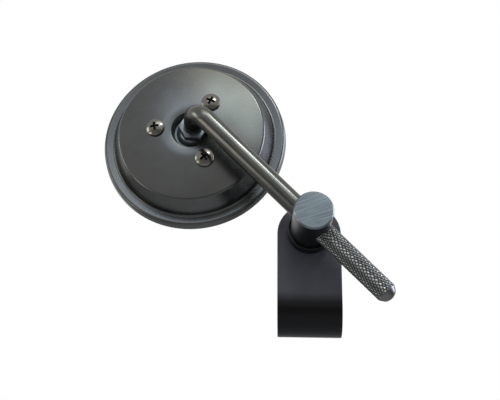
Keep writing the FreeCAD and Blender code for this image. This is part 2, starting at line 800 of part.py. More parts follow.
def make_socket_plate():
    """Pressed plate with a cup for the lower seat and a leaning flange for the screws."""
    sheet_metal = size("plate_thickness")
    cup = cup_radius()
    floor = size("ball_level") - size("ball_bottom")
    hole = size("plate_hole_diameter") / 2
    rim = size("plate_diameter") / 2
    outer_cup = cup + sheet_metal
    plate = turned("socket_plate", [
        (hole, floor - sheet_metal), (outer_cup, floor - sheet_metal),
        (outer_cup, flange_level(outer_cup) - sheet_metal), (rim, flange_level(rim) - sheet_metal),
        (rim, flange_level(rim)), (cup, flange_level(cup)), (cup, floor), (hole, floor)], head_frame)
    doc.recompute()
    drill_screw_holes(plate)
    return plate


def make_plate_screws():
    """Pan-head screws with a cross recess, square to the dome, and their nuts."""
    shank = size("screw_diameter") / 2
    head = size("screw_head_diameter") / 2
    side = size("screw_head_edge")
    rise = size("screw_head_height") - side
    crown = cap_radius(head, rise)
    body = new_body("plate_screw")
    revolve(body, draw(sketch_on(body, "XZ_Plane"), [
        (0, -size("screw_length")), (shank, -size("screw_length")), (shank, 0), (head, 0),
        (head, side, crown, 1), (0, size("screw_head_height"))]))
    doc.recompute()
    half = size("recess_width") / 2
    span = size("recess_span") / 2
    cross = [
        (span, -half), (span, half), (half, half), (half, span), (-half, span), (-half, half),
        (-span, half), (-span, -half), (-half, -half), (-half, -span), (half, -span), (half, -half)]
    sketch = draw(sketch_on(body, "XY_Plane", (0, 0, size("screw_head_height"))), cross)
    feature(body, "Pocket", sketch, Length=size("recess_depth"))
    doc.recompute()
    at_screws("plate_screws", body.Shape)

    nut = hex_nut("plate_nut", size("plate_nut_across_flats"), size("screw_diameter"),
                  size("plate_nut_height"), plate_nut_front(), FreeCAD.Placement())
    doc.recompute()
    at_screws("plate_nuts", nut.Shape)


def make_glass():
    """Convex mirror glass and the ring of tape that bonds it to the rim."""
    rim = size("rim_inside_diameter") / 2
    corner = size("rim_corner_diameter") / 2
    taper = (rim - corner) / size("rim_depth")
    edge = size("glass_level")
    thick = size("glass_thickness")
    back = edge + thick
    radius = rim - taper * back - size("glass_play")
    front_curve = size("glass_curve")
    back_curve = front_curve - thick
    front_sag = front_curve - leg(front_curve, radius)
    back_sag = back_curve - leg(back_curve, radius)
    turned("mirror_glass", [
        (0, edge - front_sag, front_curve, 1), (radius, edge), (radius, back, back_curve, -1),
        (0, back - back_sag)], head_frame)

    slope = (size("rim_depth") - size("bowl_foot_depth")) / (corner - size("bowl_foot_diameter") / 2)
    outer = radius - size("glass_play")
    inner = outer - size("pad_width")
    clearance = size("running_clearance")

    def under_rim(place):
        return size("rim_depth") - slope * (corner - place) - clearance

    def on_glass(place):
        return back - back_sag + back_curve - leg(back_curve, place) + clearance

    turned("glass_tape", [
        (inner, on_glass(inner)), (outer, on_glass(outer)), (outer, under_rim(outer)),
        (inner, under_rim(inner))], head_frame)


make_clamp_bracket()
make_swivel()
make_stem()
make_lock_handle()
make_ball_joint()
make_mirror_shell()
make_socket_plate()
make_plate_screws()
make_glass()
doc.recompute()

# Check the model and write each sub-part

HELPERS = ("plate_screw", "plate_nut")
for item in doc.Objects:
    if "Invalid" in item.State or "Error" in item.State:
        raise RuntimeError("failed: %s %s" % (item.Name, item.getStatusString()))
parts = [item for item in doc.Objects if item.TypeId in ("PartDesign::Body", "Part::Feature")]
parts = [item for item in parts if item.Label not in HELPERS]
for item in parts:
    if item.Shape.isNull() or not item.Shape.isValid():
        raise RuntimeError("bad shape: " + item.Label)
os.makedirs("parts", exist_ok=True)
for item in parts:
    item.Shape.exportStep("parts/%s.step" % item.Label)
    print(item.Label, len(item.Shape.Solids), round(item.Shape.Volume, 1))
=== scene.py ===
"""Looks of a round clamp-on motorcycle mirror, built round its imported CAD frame.

Every piece is made in millimetres in the frame of the sub-assembly that it belongs to, and is then
placed in the shared frame: X along the handlebar, Z up, the post towards -Y, the glass towards +Y.
"""
import logging
import math
from dataclasses import dataclass, field
from enum import Enum
from typing import Any, Optional, Sequence, Union

import bmesh
import bpy
from mathutils import Matrix, Quaternion, Vector


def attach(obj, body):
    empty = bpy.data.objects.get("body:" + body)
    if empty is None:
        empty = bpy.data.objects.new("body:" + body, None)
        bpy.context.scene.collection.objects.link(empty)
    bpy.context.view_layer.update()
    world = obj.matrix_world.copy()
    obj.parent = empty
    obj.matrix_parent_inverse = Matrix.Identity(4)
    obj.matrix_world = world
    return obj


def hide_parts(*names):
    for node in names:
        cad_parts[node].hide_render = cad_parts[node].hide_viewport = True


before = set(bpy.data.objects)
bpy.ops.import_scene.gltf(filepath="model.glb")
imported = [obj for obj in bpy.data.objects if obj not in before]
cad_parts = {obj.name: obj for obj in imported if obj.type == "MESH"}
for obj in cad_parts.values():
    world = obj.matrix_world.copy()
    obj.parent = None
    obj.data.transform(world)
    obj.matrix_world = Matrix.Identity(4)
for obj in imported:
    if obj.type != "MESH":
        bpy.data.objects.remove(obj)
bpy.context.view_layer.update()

MM = 0.001
TINY = 1e-6
LOG = logging.getLogger("mirror")
Pair = tuple[float, float]
Triple = tuple[float, float, float]

# Noise seldom leaves these values, so a finish's whole range is spread between them
NOISE_LOW, NOISE_HIGH = 0.3, 0.7
STREAK_LOW, STREAK_HIGH = 0.35, 0.65
# Drawn and brushed lines are about thirty times as long as they are wide
LINE_STRETCH = (0.03, 1, 1)
COAT_ROUGHNESS = 0.12
# Sockets of a colour Mix node, which share their names with its other kinds
MIX_SHARE, MIX_UNDER, MIX_OVER, MIX_RESULT = 0, 6, 7, 2

# Thread section: share of the pitch, and one in the root or zero on the crest
THREAD_SECTION = ((0.0, 1), (0.25, 1), (0.56, 0), (0.69, 0))
THREAD_DEPTH = 0.54
THREAD_AROUND = 32
# How far a nut's face stands back from its flats, and how deep its hole is countersunk
NUT_BEVEL, NUT_SINK = 0.25, 0.6
NUT_AROUND = 96

# Angles in degrees above which an edge stays crisp
CRISP, CRISP_THREAD, CRISP_SCREW, CRISP_KNURL = 38.0, 25.0, 30.0, 20.0
# Points nearer than this are one point
WELD = 1e-3 * MM


def linear(code: str) -> tuple[float, float, float, float]:
    """Turn an sRGB hex value into linear light.

    Args:
        code: Colour as "#rrggbb".

    Returns:
        Linear red, green, blue and an alpha of one.
    """
    parts = [int(code[i:i + 2], 16) / 255 for i in (1, 3, 5)]
    red, green, blue = [p / 12.92 if p <= 0.04045 else ((p + 0.055) / 1.055) ** 2.4 for p in parts]
    return red, green, blue, 1.0


def add_node(tree: bpy.types.NodeTree, kind: str, inputs: Optional[dict] = None,
             **settings: Any) -> Any:
    """Add a shader node with its settings, and feed its inputs.

    Args:
        tree: Node tree that gets the node.
        kind: Node type without its ShaderNode prefix.
        inputs: Input name or number, with a value or the socket that is linked to it.
        settings: Properties of the node itself.

    Returns:
        The new node.
    """
    item = tree.nodes.new("ShaderNode" + kind)
    for name, value in settings.items():
        setattr(item, name, value)
    for key, value in (inputs or {}).items():
        if isinstance(value, bpy.types.NodeSocket):
            tree.links.new(value, item.inputs[key])
        else:
            item.inputs[key].default_value = value
    return item


def empty_tree(owner: Union[bpy.types.Material, bpy.types.World]) -> bpy.types.NodeTree:
    """Switch on the nodes of a material or world and empty them.

    Args:
        owner: The material or world.

    Returns:
        Its empty node tree.
    """
    owner.use_nodes = True
    owner.node_tree.nodes.clear()
    return owner.node_tree


class Grain(Enum):
    """How a surface was worked, which sets the direction of its fine marks."""

    PEEL = "flowed coat"
    TURNED = "rings round the turning axis"
    DRAWN = "lines along the bar"
    BRUSHED = "straight lines across a flat end"


@dataclass(frozen=True)
class Finish:
    """One real surface: its material, how it was made and what that gives the eye.

    Roughness and colours are given as a pair, between which the surface wanders.
    """

    name: str
    colours: tuple[str, str]
    roughness: Pair
    metallic: float
    grain: Grain
    grain_mm: float
    bump_mm: float
    mottle_mm: float
    coat: float = 0.0
    # Colour of painted shade, mixed in by the share that a mesh's points carry
    painted_shade: str = ""
    slant: float = 0.0
    specular: float = 0.5
    streak: float = 0.0

    def coordinates(self, tree: bpy.types.NodeTree) -> Any:
        """Give the socket whose noise runs along this finish's marks.

        Args:
            tree: Node tree of the material.

        Returns:
            Socket of the stretched coordinates.
        """
        if self.grain is Grain.PEEL:
            return add_node(tree, "TexCoord").outputs["Object"]
        lines = "straight" if self.grain is Grain.DRAWN else "local"
        place = add_node(tree, "Attribute", attribute_name=lines).outputs["Vector"]
        if self.grain is Grain.TURNED:
            flat = add_node(tree, "VectorMath", {0: place, 1: (1, 1, 0)}, operation="MULTIPLY")
            radius = add_node(tree, "VectorMath", {0: flat.outputs[0]}, operation="LENGTH")
            height = add_node(tree, "SeparateXYZ", {0: place})
            rings = {0: radius.outputs["Value"], 2: height.outputs[2]}
            return add_node(tree, "CombineXYZ", rings).outputs[0]
        turned = add_node(tree, "VectorRotate", {
            "Vector": place, "Angle": math.radians(self.slant)}, rotation_type="Z_AXIS")
        return add_node(tree, "VectorMath", {0: turned.outputs[0], 1: LINE_STRETCH},
                        operation="MULTIPLY").outputs[0]

    def build(self) -> bpy.types.Material:
        """Make the material from its nodes.

        Returns:
            The finished material.
        """
        material = bpy.data.materials.new(self.name)
        tree = empty_tree(material)
        place = add_node(tree, "TexCoord").outputs["Object"]
        marks = add_node(tree, "TexNoise", {
            "Vector": self.coordinates(tree), "Scale": 1 / (self.grain_mm * MM), "Detail": 3.0})
        cloud = add_node(tree, "TexNoise", {
            "Vector": place, "Scale": 1 / (self.mottle_mm * MM), "Detail": 4.0, "Roughness": 0.6})
        patches = add_node(tree, "MapRange", {
            "Value": cloud.outputs["Fac"], "From Min": NOISE_LOW, "From Max": NOISE_HIGH})
        layers = [(patches.outputs[0], self.colours[1])]
        if self.streak:
            lines = add_node(tree, "MapRange", {
                "Value": marks.outputs["Fac"], "From Min": STREAK_LOW, "From Max": STREAK_HIGH,
                "To Max": self.streak})
            layers.append((lines.outputs[0], "#000000"))
        # Painted shade: the colour moves towards the shade colour by each point's share
        if self.painted_shade:
            depth = add_node(tree, "Attribute", attribute_name="painted_shade")
            layers.append((depth.outputs["Fac"], self.painted_shade))
        colour = linear(self.colours[0])
        for share, over in layers:
            mixed = add_node(tree, "Mix", {
                MIX_SHARE: share, MIX_UNDER: colour, MIX_OVER: linear(over)}, data_type="RGBA")
            colour = mixed.outputs[MIX_RESULT]
        gloss = add_node(tree, "MapRange", {
            "Value": marks.outputs["Fac"], "From Min": NOISE_LOW, "From Max": NOISE_HIGH,
            "To Min": self.roughness[0], "To Max": self.roughness[1]})
        relief = add_node(tree, "Bump", {
            "Height": marks.outputs["Fac"], "Distance": self.bump_mm * MM})
        shader = add_node(tree, "BsdfPrincipled", {
            "Base Color": colour, "Metallic": self.metallic, "Roughness": gloss.outputs[0],
            "Normal": relief.outputs[0], "Coat Weight": self.coat,
            "Coat Roughness": COAT_ROUGHNESS, "Specular IOR Level": self.specular})
        add_node(tree, "OutputMaterial", {"Surface": shader.outputs[0]})
        return material


# Real feed rings, drawn lines and belt scratches are a tenth of a millimetre wide or less. The
# photo has two pixels to a millimetre, so they are drawn three to six times as coarse to show.

# Electrocoat on pressed steel: satin blue-grey black on the legs; round the fold, painted shade
# makes it deep black
STRAP_COAT = Finish("electrocoated_steel_black", ("#3e3e44", "#46464c"), (0.18, 0.24), 0.0,
                    Grain.PEEL, 3.0, 0.002, 9.0, painted_shade="#0c0c0d", specular=0.12)
# Satin gunmetal lacquer with fine metal flake: soft broad highlight that fades into a dark body
SHELL_LACQUER = Finish("metallic_lacquer_gunmetal", ("#474846", "#4e4f4e"), (0.25, 0.28), 1.0,
                       Grain.PEEL, 4.0, 0.003, 16.0)
# Black nickel over drawn bar: dark mirror with a silky streak along the bar
STEM_NICKEL = Finish("black_nickel_on_drawn_steel", ("#4b4b48", "#565652"), (0.20, 0.28), 1.0,
                     Grain.DRAWN, 0.35, 0.0015, 12.0, streak=0.12)
# Black oxide on turned steel: near-black side with faint feed rings
POST_OXIDE = Finish("black_oxide_on_turned_steel", ("#191a1c", "#232426"), (0.28, 0.40), 0.85,
                    Grain.TURNED, 0.30, 0.002, 8.0)
# Belt-brushed end of the post: cool grey with straight lines that rise to the right
POST_FACE = Finish("belt_brushed_steel", ("#5c6368", "#676e73"), (0.30, 0.46), 1.0,
                   Grain.BRUSHED, 0.55, 0.006, 6.0, slant=-65.6, streak=0.35)
# Black nickel on knurled steel: grey diamonds, with painted shade darkening the grooves and both
# ends
KNURL_NICKEL = Finish("black_nickel_on_knurled_steel", ("#6e706f", "#7e7f7d"), (0.20, 0.30), 1.0,
                      Grain.PEEL, 0.5, 0.002, 5.0, painted_shade="#161616")
# Zinc plate, clear passivated: cool pale grey with a faint bloom
ZINC = Finish("zinc_plated_steel", ("#8d9092", "#a0a3a3"), (0.28, 0.42), 1.0,
              Grain.PEEL, 0.6, 0.003, 4.0)
# Manganese phosphate on turned steel: matt dark grey in the well of the ball seat
PHOSPHATE = Finish("phosphated_steel", ("#4a4d4f", "#575a5c"), (0.40, 0.50), 1.0,
                   Grain.TURNED, 0.40, 0.003, 3.0)
# Bare turned lip of the ball seat: dull grey with fine feed rings
SEAT_LIP = Finish("turned_steel_lip", ("#4c5153", "#595e60"), (0.34, 0.46), 1.0,
                  Grain.TURNED, 0.45, 0.004, 3.0, streak=0.2)
# Black zinc on the lock nut and the stem's threads: dull grey with a trace of blue
BLACK_ZINC = Finish("black_zinc_on_steel", ("#5c6265", "#6a7073"), (0.42, 0.52), 1.0,
                    Grain.PEEL, 0.6, 0.003, 3.0)
# Nickel on rolled screws: warm grey heads, polished and rather dark
SCREW_NICKEL = Finish("bright_nickel_on_rolled_steel", ("#605e5a", "#6e6b65"), (0.14, 0.24), 1.0,
                      Grain.TURNED, 0.5, 0.002, 3.0)
# Painted shade in the cross recess: matt black that draws the cross
RECESS_SHADE = Finish("cross_recess_painted_shade", ("#0a0a09", "#121110"), (0.60, 0.75), 0.0,
                    Grain.PEEL, 0.3, 0.01, 1.0, specular=0.2)
# Moulded nylon: dull black with a fine spark texture
NYLON = Finish("moulded_nylon_black", ("#141415", "#1b1b1c"), (0.55, 0.70), 0.0,
               Grain.PEEL, 0.25, 0.006, 3.0)
# Acrylic foam tape: soft matt black with open cells
FOAM = Finish("acrylic_foam_tape", ("#101011", "#1a1a1a"), (0.85, 0.95), 0.0,
              Grain.PEEL, 0.3, 0.05, 2.0)
# Silvered float glass: a clear cold mirror behind a polished face
MIRROR = Finish("silvered_float_glass", ("#dfe4e6", "#e6eaeb"), (0.008, 0.016), 1.0,
                Grain.PEEL, 30.0, 0.0, 60.0, coat=1.0)
# Ground edge of the glass: frosted, with the green of float glass
GLASS_EDGE = Finish("ground_float_glass_edge", ("#5f7a72", "#7b938b"), (0.45, 0.60), 0.0,
                    Grain.PEEL, 0.4, 0.01, 3.0)

MATERIALS: dict[str, bpy.types.Material] = {}


def material_of(finish: Finish) -> bpy.types.Material:
    """Give a finish's material, made on first use.

    Args:
        finish: The finish.

    Returns:
        Its one material.
    """
    if finish.name not in MATERIALS:
        MATERIALS[finish.name] = finish.build()
    return MATERIALS[finish.name]


def polar(radius: float, turn: float, height: float) -> Vector:
    """Place a point by its distance from Z, its turn in radians and its height."""
    return Vector((radius * math.cos(turn), radius * math.sin(turn), height))


@dataclass
class Solid:
    """Points in millimetres and the faces between them, with marks on some points and faces."""

    points: list[Vector] = field(default_factory=list)
    faces: list[tuple[int, ...]] = field(default_factory=list)
    # Shares of painted shade, from none to full, at some points
    painted_shade: dict[int, float] = field(default_factory=dict)
    straight: dict[int, Vector] = field(default_factory=dict)
    second: set[int] = field(default_factory=set)

    def add(self, other: "Solid", place: Matrix) -> "Solid":
        """Add another solid without its marks, moved to its place.

        Args:
            other: Solid to add.
            place: Move of its points, in millimetres.

        Returns:
            This solid.
        """
        start = len(self.points)
        self.points += [place @ point for point in other.points]
        self.faces += [tuple(i + start for i in face) for face in other.faces]
        return self

    def loop(self, points: Sequence[Vector]) -> list[int]:
        """Add points in order.

        Args:
            points: The points.

        Returns:
            Their numbers.
        """
        start = len(self.points)
        self.points += points
        return list(range(start, len(self.points)))

    def ring(self, radius: float, height: float, count: int) -> list[int]:
        """Add a ring of points round Z, or one point where it has no radius.

        Args:
            radius: Radius of the ring.
            height: Height of the ring.
            count: Number of points.

        Returns:
            Numbers of its points.
        """
        if radius < TINY:
            return self.loop([Vector((0, 0, height))])
        return self.loop([polar(radius, 2 * math.pi * i / count, height) for i in range(count)])

    def band(self, lower: Sequence[int], upper: Sequence[int], closed: bool = True) -> None:
        """Join two rings of points by faces; a ring of one point is a tip.

        Args:
            lower: Point numbers of the first ring.
            upper: Point numbers of the second ring.
            closed: Whether a ring's last point leads back to its first.
        """
        count = max(len(lower), len(upper))
        for i in range(count if closed else count - 1):
            j = (i + 1) % count
            if len(lower) == 1:
                self.faces.append((lower[0], upper[j], upper[i]))
            elif len(upper) == 1:
                self.faces.append((lower[i], lower[j], upper[0]))
            else:
                self.faces.append((lower[i], lower[j], upper[j], upper[i]))

    def skin(self, rings: Sequence[list[int]], closed: bool = False, capped: bool = False) -> None:
        """Join rings of points in order.

        Args:
            rings: Point numbers of each ring.
            closed: Whether the last ring leads back to the first.
            capped: Whether the first and the last ring are closed by a face.
        """
        for lower, upper in zip(rings, [*rings[1:], *rings[:1]] if closed else rings[1:]):
            self.band(lower, upper)
        if capped:
            self.faces += [tuple(rings[0]), tuple(reversed(rings[-1]))]


def rounded(corners: Sequence[Sequence[float]], steps: int, closed: bool = True) -> list[Pair]:
    """Round the corners of an outline by arcs.

    Args:
        corners: Points (x, y) or (x, y, radius) in order.
        steps: Straight runs in each arc.
        closed: Whether the last corner leads back to the first.

    Returns:
        Points of the rounded outline.
    """
    path = []
    count = len(corners)
    for number, corner in enumerate(corners):
        here = Vector(corner[:2])
        inner = closed or 0 < number < count - 1
        if len(corner) == 2 or not inner:
            path.append(tuple(here))
            continue
        back = (Vector(corners[number - 1][:2]) - here).normalized()
        ahead = (Vector(corners[(number + 1) % count][:2]) - here).normalized()
        half = math.acos(max(-1.0, min(1.0, back.dot(ahead)))) / 2
        centre = here + (back + ahead).normalized() * (corner[2] / math.sin(half))
        begin = here + back * (corner[2] / math.tan(half)) - centre
        end = here + ahead * (corner[2] / math.tan(half)) - centre
        turn = math.atan2(begin.x * end.y - begin.y * end.x, begin.dot(end))
        for step in range(steps + 1):
            angle = turn * step / steps
            cosine, sine = math.cos(angle), math.sin(angle)
            path.append((centre.x + begin.x * cosine - begin.y * sine,
                         centre.y + begin.x * sine + begin.y * cosine))
    return path


def sphere_level(radius: float, centre: float, distance: float) -> float:
    """Give the height of a sphere, centred on the axis, at a distance from the axis."""
    return centre + math.sqrt(radius * radius - distance * distance)


def cap_radius(reach: float, rise: float) -> float:
    """Give the radius of the sphere whose cap has this reach from the axis and this rise."""
    return (reach ** 2 + rise ** 2) / (2 * rise)


def arc_points(radius: float, centre: float, start: float, end: float, runs: int) -> list[Pair]:
    """Sample a crown round the axis.

    Args:
        radius: Radius of its sphere.
        centre: Height of the sphere's centre.
        start: Distance from the axis of the first point.
        end: Distance from the axis of the last point.
        runs: Number of runs.

    Returns:
        Points (distance from the axis, height).
    """
    places = [start + (end - start) * i / runs for i in range(runs + 1)]
    return [(place, sphere_level(radius, centre, place)) for place in places]


def lathe(profile: Sequence[Pair], segments: int = 96, closed: bool = True) -> Solid:
    """Turn a half section round Z.

    Args:
        profile: Points (distance from the axis, height).
        segments: Faces around.
        closed: Whether the last point joins the first, as in a ring.

    Returns:
        The turned solid.
    """
    solid = Solid()
    solid.skin([solid.ring(radius, height, segments) for radius, height in profile], closed)
    return solid


def frame_from(origin: Vector, x_axis: Vector, z_axis: Vector) -> Matrix:
    """Place a frame.

    Args:
        origin: Its origin in millimetres.
        x_axis: Direction that its X comes nearest to.
        z_axis: Direction of its Z.

    Returns:
        The frame, in metres.
    """
    z = z_axis.normalized()
    y = z.cross(x_axis).normalized()
    place = Matrix((y.cross(z), y, z)).transposed().to_4x4()
    place.translation = origin * MM
    return place


def threaded_bar(radius: float, pitch: float, start: float, end: float, lead: float) -> Solid:
    """Make a bar with a screw thread cut on it.

    Args:
        radius: Outside radius of the thread.
        pitch: Distance from thread to thread.
        start: Height of the first end.
        end: Height of the last end, which is bevelled.
        lead: Bevel of the last end.

    Returns:
        The threaded bar.
    """
    depth = THREAD_DEPTH * pitch
    solid = Solid()
    rings = []
    for number in range(-1, int((end - start) / pitch) + 2):
        for share, rooted in THREAD_SECTION:
            ring = []
            for i in range(THREAD_AROUND + 1):
                height = start + pitch * (number + share + i / THREAD_AROUND)
                height = min(max(height, start), end)
                bevel = max(0.0, lead - (end - height))
                reach = min(radius - depth * rooted, radius - bevel)
                ring.append(polar(reach, 2 * math.pi * i / THREAD_AROUND, height))
            rings.append(solid.loop(ring))
    for lower, upper in zip(rings, rings[1:]):
        solid.band(lower, upper, closed=False)
    for height, rim in ((start, radius - depth), (end, radius - max(lead, depth))):
        solid.band(solid.ring(0.0, height, 1), solid.ring(rim, height, THREAD_AROUND))
    return solid


def hex_nut(flats: float, height: float, bore: float, start: float) -> Solid:
    """Make a hexagon nut whose corners are turned off at thirty degrees.

    Args:
        flats: Width across flats.
        height: Height of the nut.
        bore: Radius of the hole.
        start: Height of its lower face.

    Returns:
        The nut.
    """
    sixth, twelfth = math.pi / 3, math.pi / 6
    face = flats / 2 - NUT_BEVEL
    top = start + height
    low, high = [], []
    for i in range(NUT_AROUND):
        turn = 2 * math.pi * i / NUT_AROUND
        lean = (turn + twelfth) % sixth - twelfth
        reach = flats / 2 / math.cos(twelfth - abs(lean))
        drop = (reach - face) * math.tan(math.radians(30))
        low.append(polar(reach, turn, start + drop))
        high.append(polar(reach, turn, top - drop))
    solid = Solid()
    mouth = bore + NUT_SINK
    solid.skin([
        solid.ring(bore, start + NUT_SINK, NUT_AROUND), solid.ring(mouth, start, NUT_AROUND),
        solid.ring(face, start, NUT_AROUND), solid.loop(low), solid.loop(high),
        solid.ring(face, top, NUT_AROUND), solid.ring(mouth, top, NUT_AROUND),
        solid.ring(bore, top - NUT_SINK, NUT_AROUND)], closed=True)
    return solid


def make_object(name: str, solid: Solid, place: Matrix,
                finishes: Sequence[Finish]) -> bpy.types.Object:
    """Make a Blender object of a solid.

    Args:
        name: Name of the object.
        solid: Its points and faces in millimetres.
        place: Where its own frame lies, in metres.
        finishes: First finish, and the one of its marked faces.

    Returns:
        The object, with its doubled points welded.
    """
    mesh = bpy.data.meshes.new(name)
    mesh.from_pydata([p * MM for p in solid.points], [], solid.faces)
    for finish in finishes:
        mesh.materials.append(material_of(finish))
    for number in solid.second:
        mesh.polygons[number].material_index = 1
    # Painted shade shares go to the shader in a point attribute
    if solid.painted_shade:
        layer = mesh.attributes.new("painted_shade", "FLOAT", "POINT")
        for number, value in solid.painted_shade.items():
            layer.data[number].value = value
    if solid.straight:
        layer = mesh.attributes.new("straight", "FLOAT_VECTOR", "POINT")
        for number, value in solid.straight.items():
            layer.data[number].vector = value * MM
    shape = bmesh.new()
    shape.from_mesh(mesh)
    bmesh.ops.remove_doubles(shape, verts=shape.verts, dist=WELD)
    bmesh.ops.dissolve_degenerate(shape, edges=shape.edges, dist=WELD)
    bmesh.ops.recalc_face_normals(shape, faces=shape.faces)
    shape.to_mesh(mesh)
    shape.free()
    piece = bpy.data.objects.new(name, mesh)
    bpy.context.scene.collection.objects.link(piece)
    piece.matrix_world = place
    return piece


def cut_away(piece: bpy.types.Object, cutter: Solid, finishes: Sequence[Finish] = ()) -> None:
    """Cut a solid out of a piece.

    Args:
        piece: Piece that is cut.
        cutter: Solid in the piece's own frame.
        finishes: Finish of the cut faces, where it isn't the piece's first one.
    """
    tool = make_object("cutter", cutter, piece.matrix_world, finishes)
    modifier = piece.modifiers.new("cut", "BOOLEAN")
    modifier.object = tool
    modifier.operation = "DIFFERENCE"
    modifier.solver = "EXACT"
    modifier.material_mode = "TRANSFER" if finishes else "INDEX"
    bpy.context.view_layer.update()
    worked = piece.evaluated_get(bpy.context.evaluated_depsgraph_get())
    mesh = bpy.data.meshes.new_from_object(worked)
    piece.modifiers.clear()
    piece.data = mesh
    bpy.data.objects.remove(tool)


def settle(piece: bpy.types.Object, body: str, node: str, crisp: float = CRISP) -> None:
    """Shade a piece and put it in the place of its CAD node.

    Args:
        piece: The made piece.
        body: CAD body that it rides on.
        node: CAD node that it stands for.
        crisp: Angle in degrees above which an edge stays crisp.
    """
    mesh = piece.data
    layer = mesh.attributes.new("local", "FLOAT_VECTOR", "POINT")
    for number, point in enumerate(mesh.vertices):
        layer.data[number].vector = point.co
    mesh.transform(piece.matrix_world)
    piece.matrix_world = Matrix.Identity(4)
    for face in mesh.polygons:
        face.use_smooth = True
    mesh.set_sharp_from_angle(angle=math.radians(crisp))
    normals = piece.modifiers.new("normals", "WEIGHTED_NORMAL")
    normals.keep_sharp = True
    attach(piece, body)
    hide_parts(node)
    LOG.info("%s stands for %s, %d faces", piece.name, node, len(mesh.polygons))


def dress(node: str, finish: Finish) -> None:
    """Give a CAD node its finish and leave its shape as it is.

    Args:
        node: Name of the node.
        finish: Its finish.
    """
    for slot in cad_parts[node].material_slots:
        slot.material = material_of(finish)
    LOG.info("%s dressed in %s", node, finish.name)


@dataclass
class Layout:
    """Places of the sub-assemblies, in millimetres and degrees, from the same sizes as the CAD."""

    pivot_height: float = 34.6
    rod_level: float = 30.4
    arm_angle: float = 45.6
    arm_roll: float = 6.8
    arm_reach: float = 81.3
    elbow_drop: float = 25.7
    head_pan: float = 6.1
    screw_angle: float = 55.6
    ball_level: float = 10.2
    pivot: Matrix = field(init=False)
    post: Matrix = field(init=False)
    stem: Matrix = field(init=False)
    handle: Matrix = field(init=False)
    ball: Matrix = field(init=False)
    head: Matrix = field(init=False)

    def __post_init__(self) -> None:
        """Work out the frames."""
        right = Vector((1, 0, 0))
        forward = Vector((0, -1, 0))
        slope = math.radians(self.arm_angle)
        roll = math.radians(self.arm_roll)
        pan = math.radians(self.head_pan)
        pivot = Vector((0, 0, self.pivot_height))
        along = Vector((math.cos(slope), 0, -math.sin(slope)))
        across = Vector((math.sin(slope), 0, math.cos(slope)))
        lift = forward * math.cos(roll) + across * math.sin(roll)
        rod = pivot + forward * self.rod_level
        ball = rod - along * self.arm_reach - lift * self.elbow_drop
        axis = Vector((-math.sin(pan), -math.cos(pan), 0))
        first = Matrix.Rotation(math.radians(self.screw_angle), 3, axis) @ right
        self.pivot = frame_from(pivot, right, forward)
        self.post = frame_from(pivot, along, forward)
        self.stem = frame_from(rod, -along, -lift)
        self.handle = frame_from(rod, lift, along)
        self.ball = frame_from(ball, right, lift)
        self.head = frame_from(ball - axis * self.ball_level, first, axis)


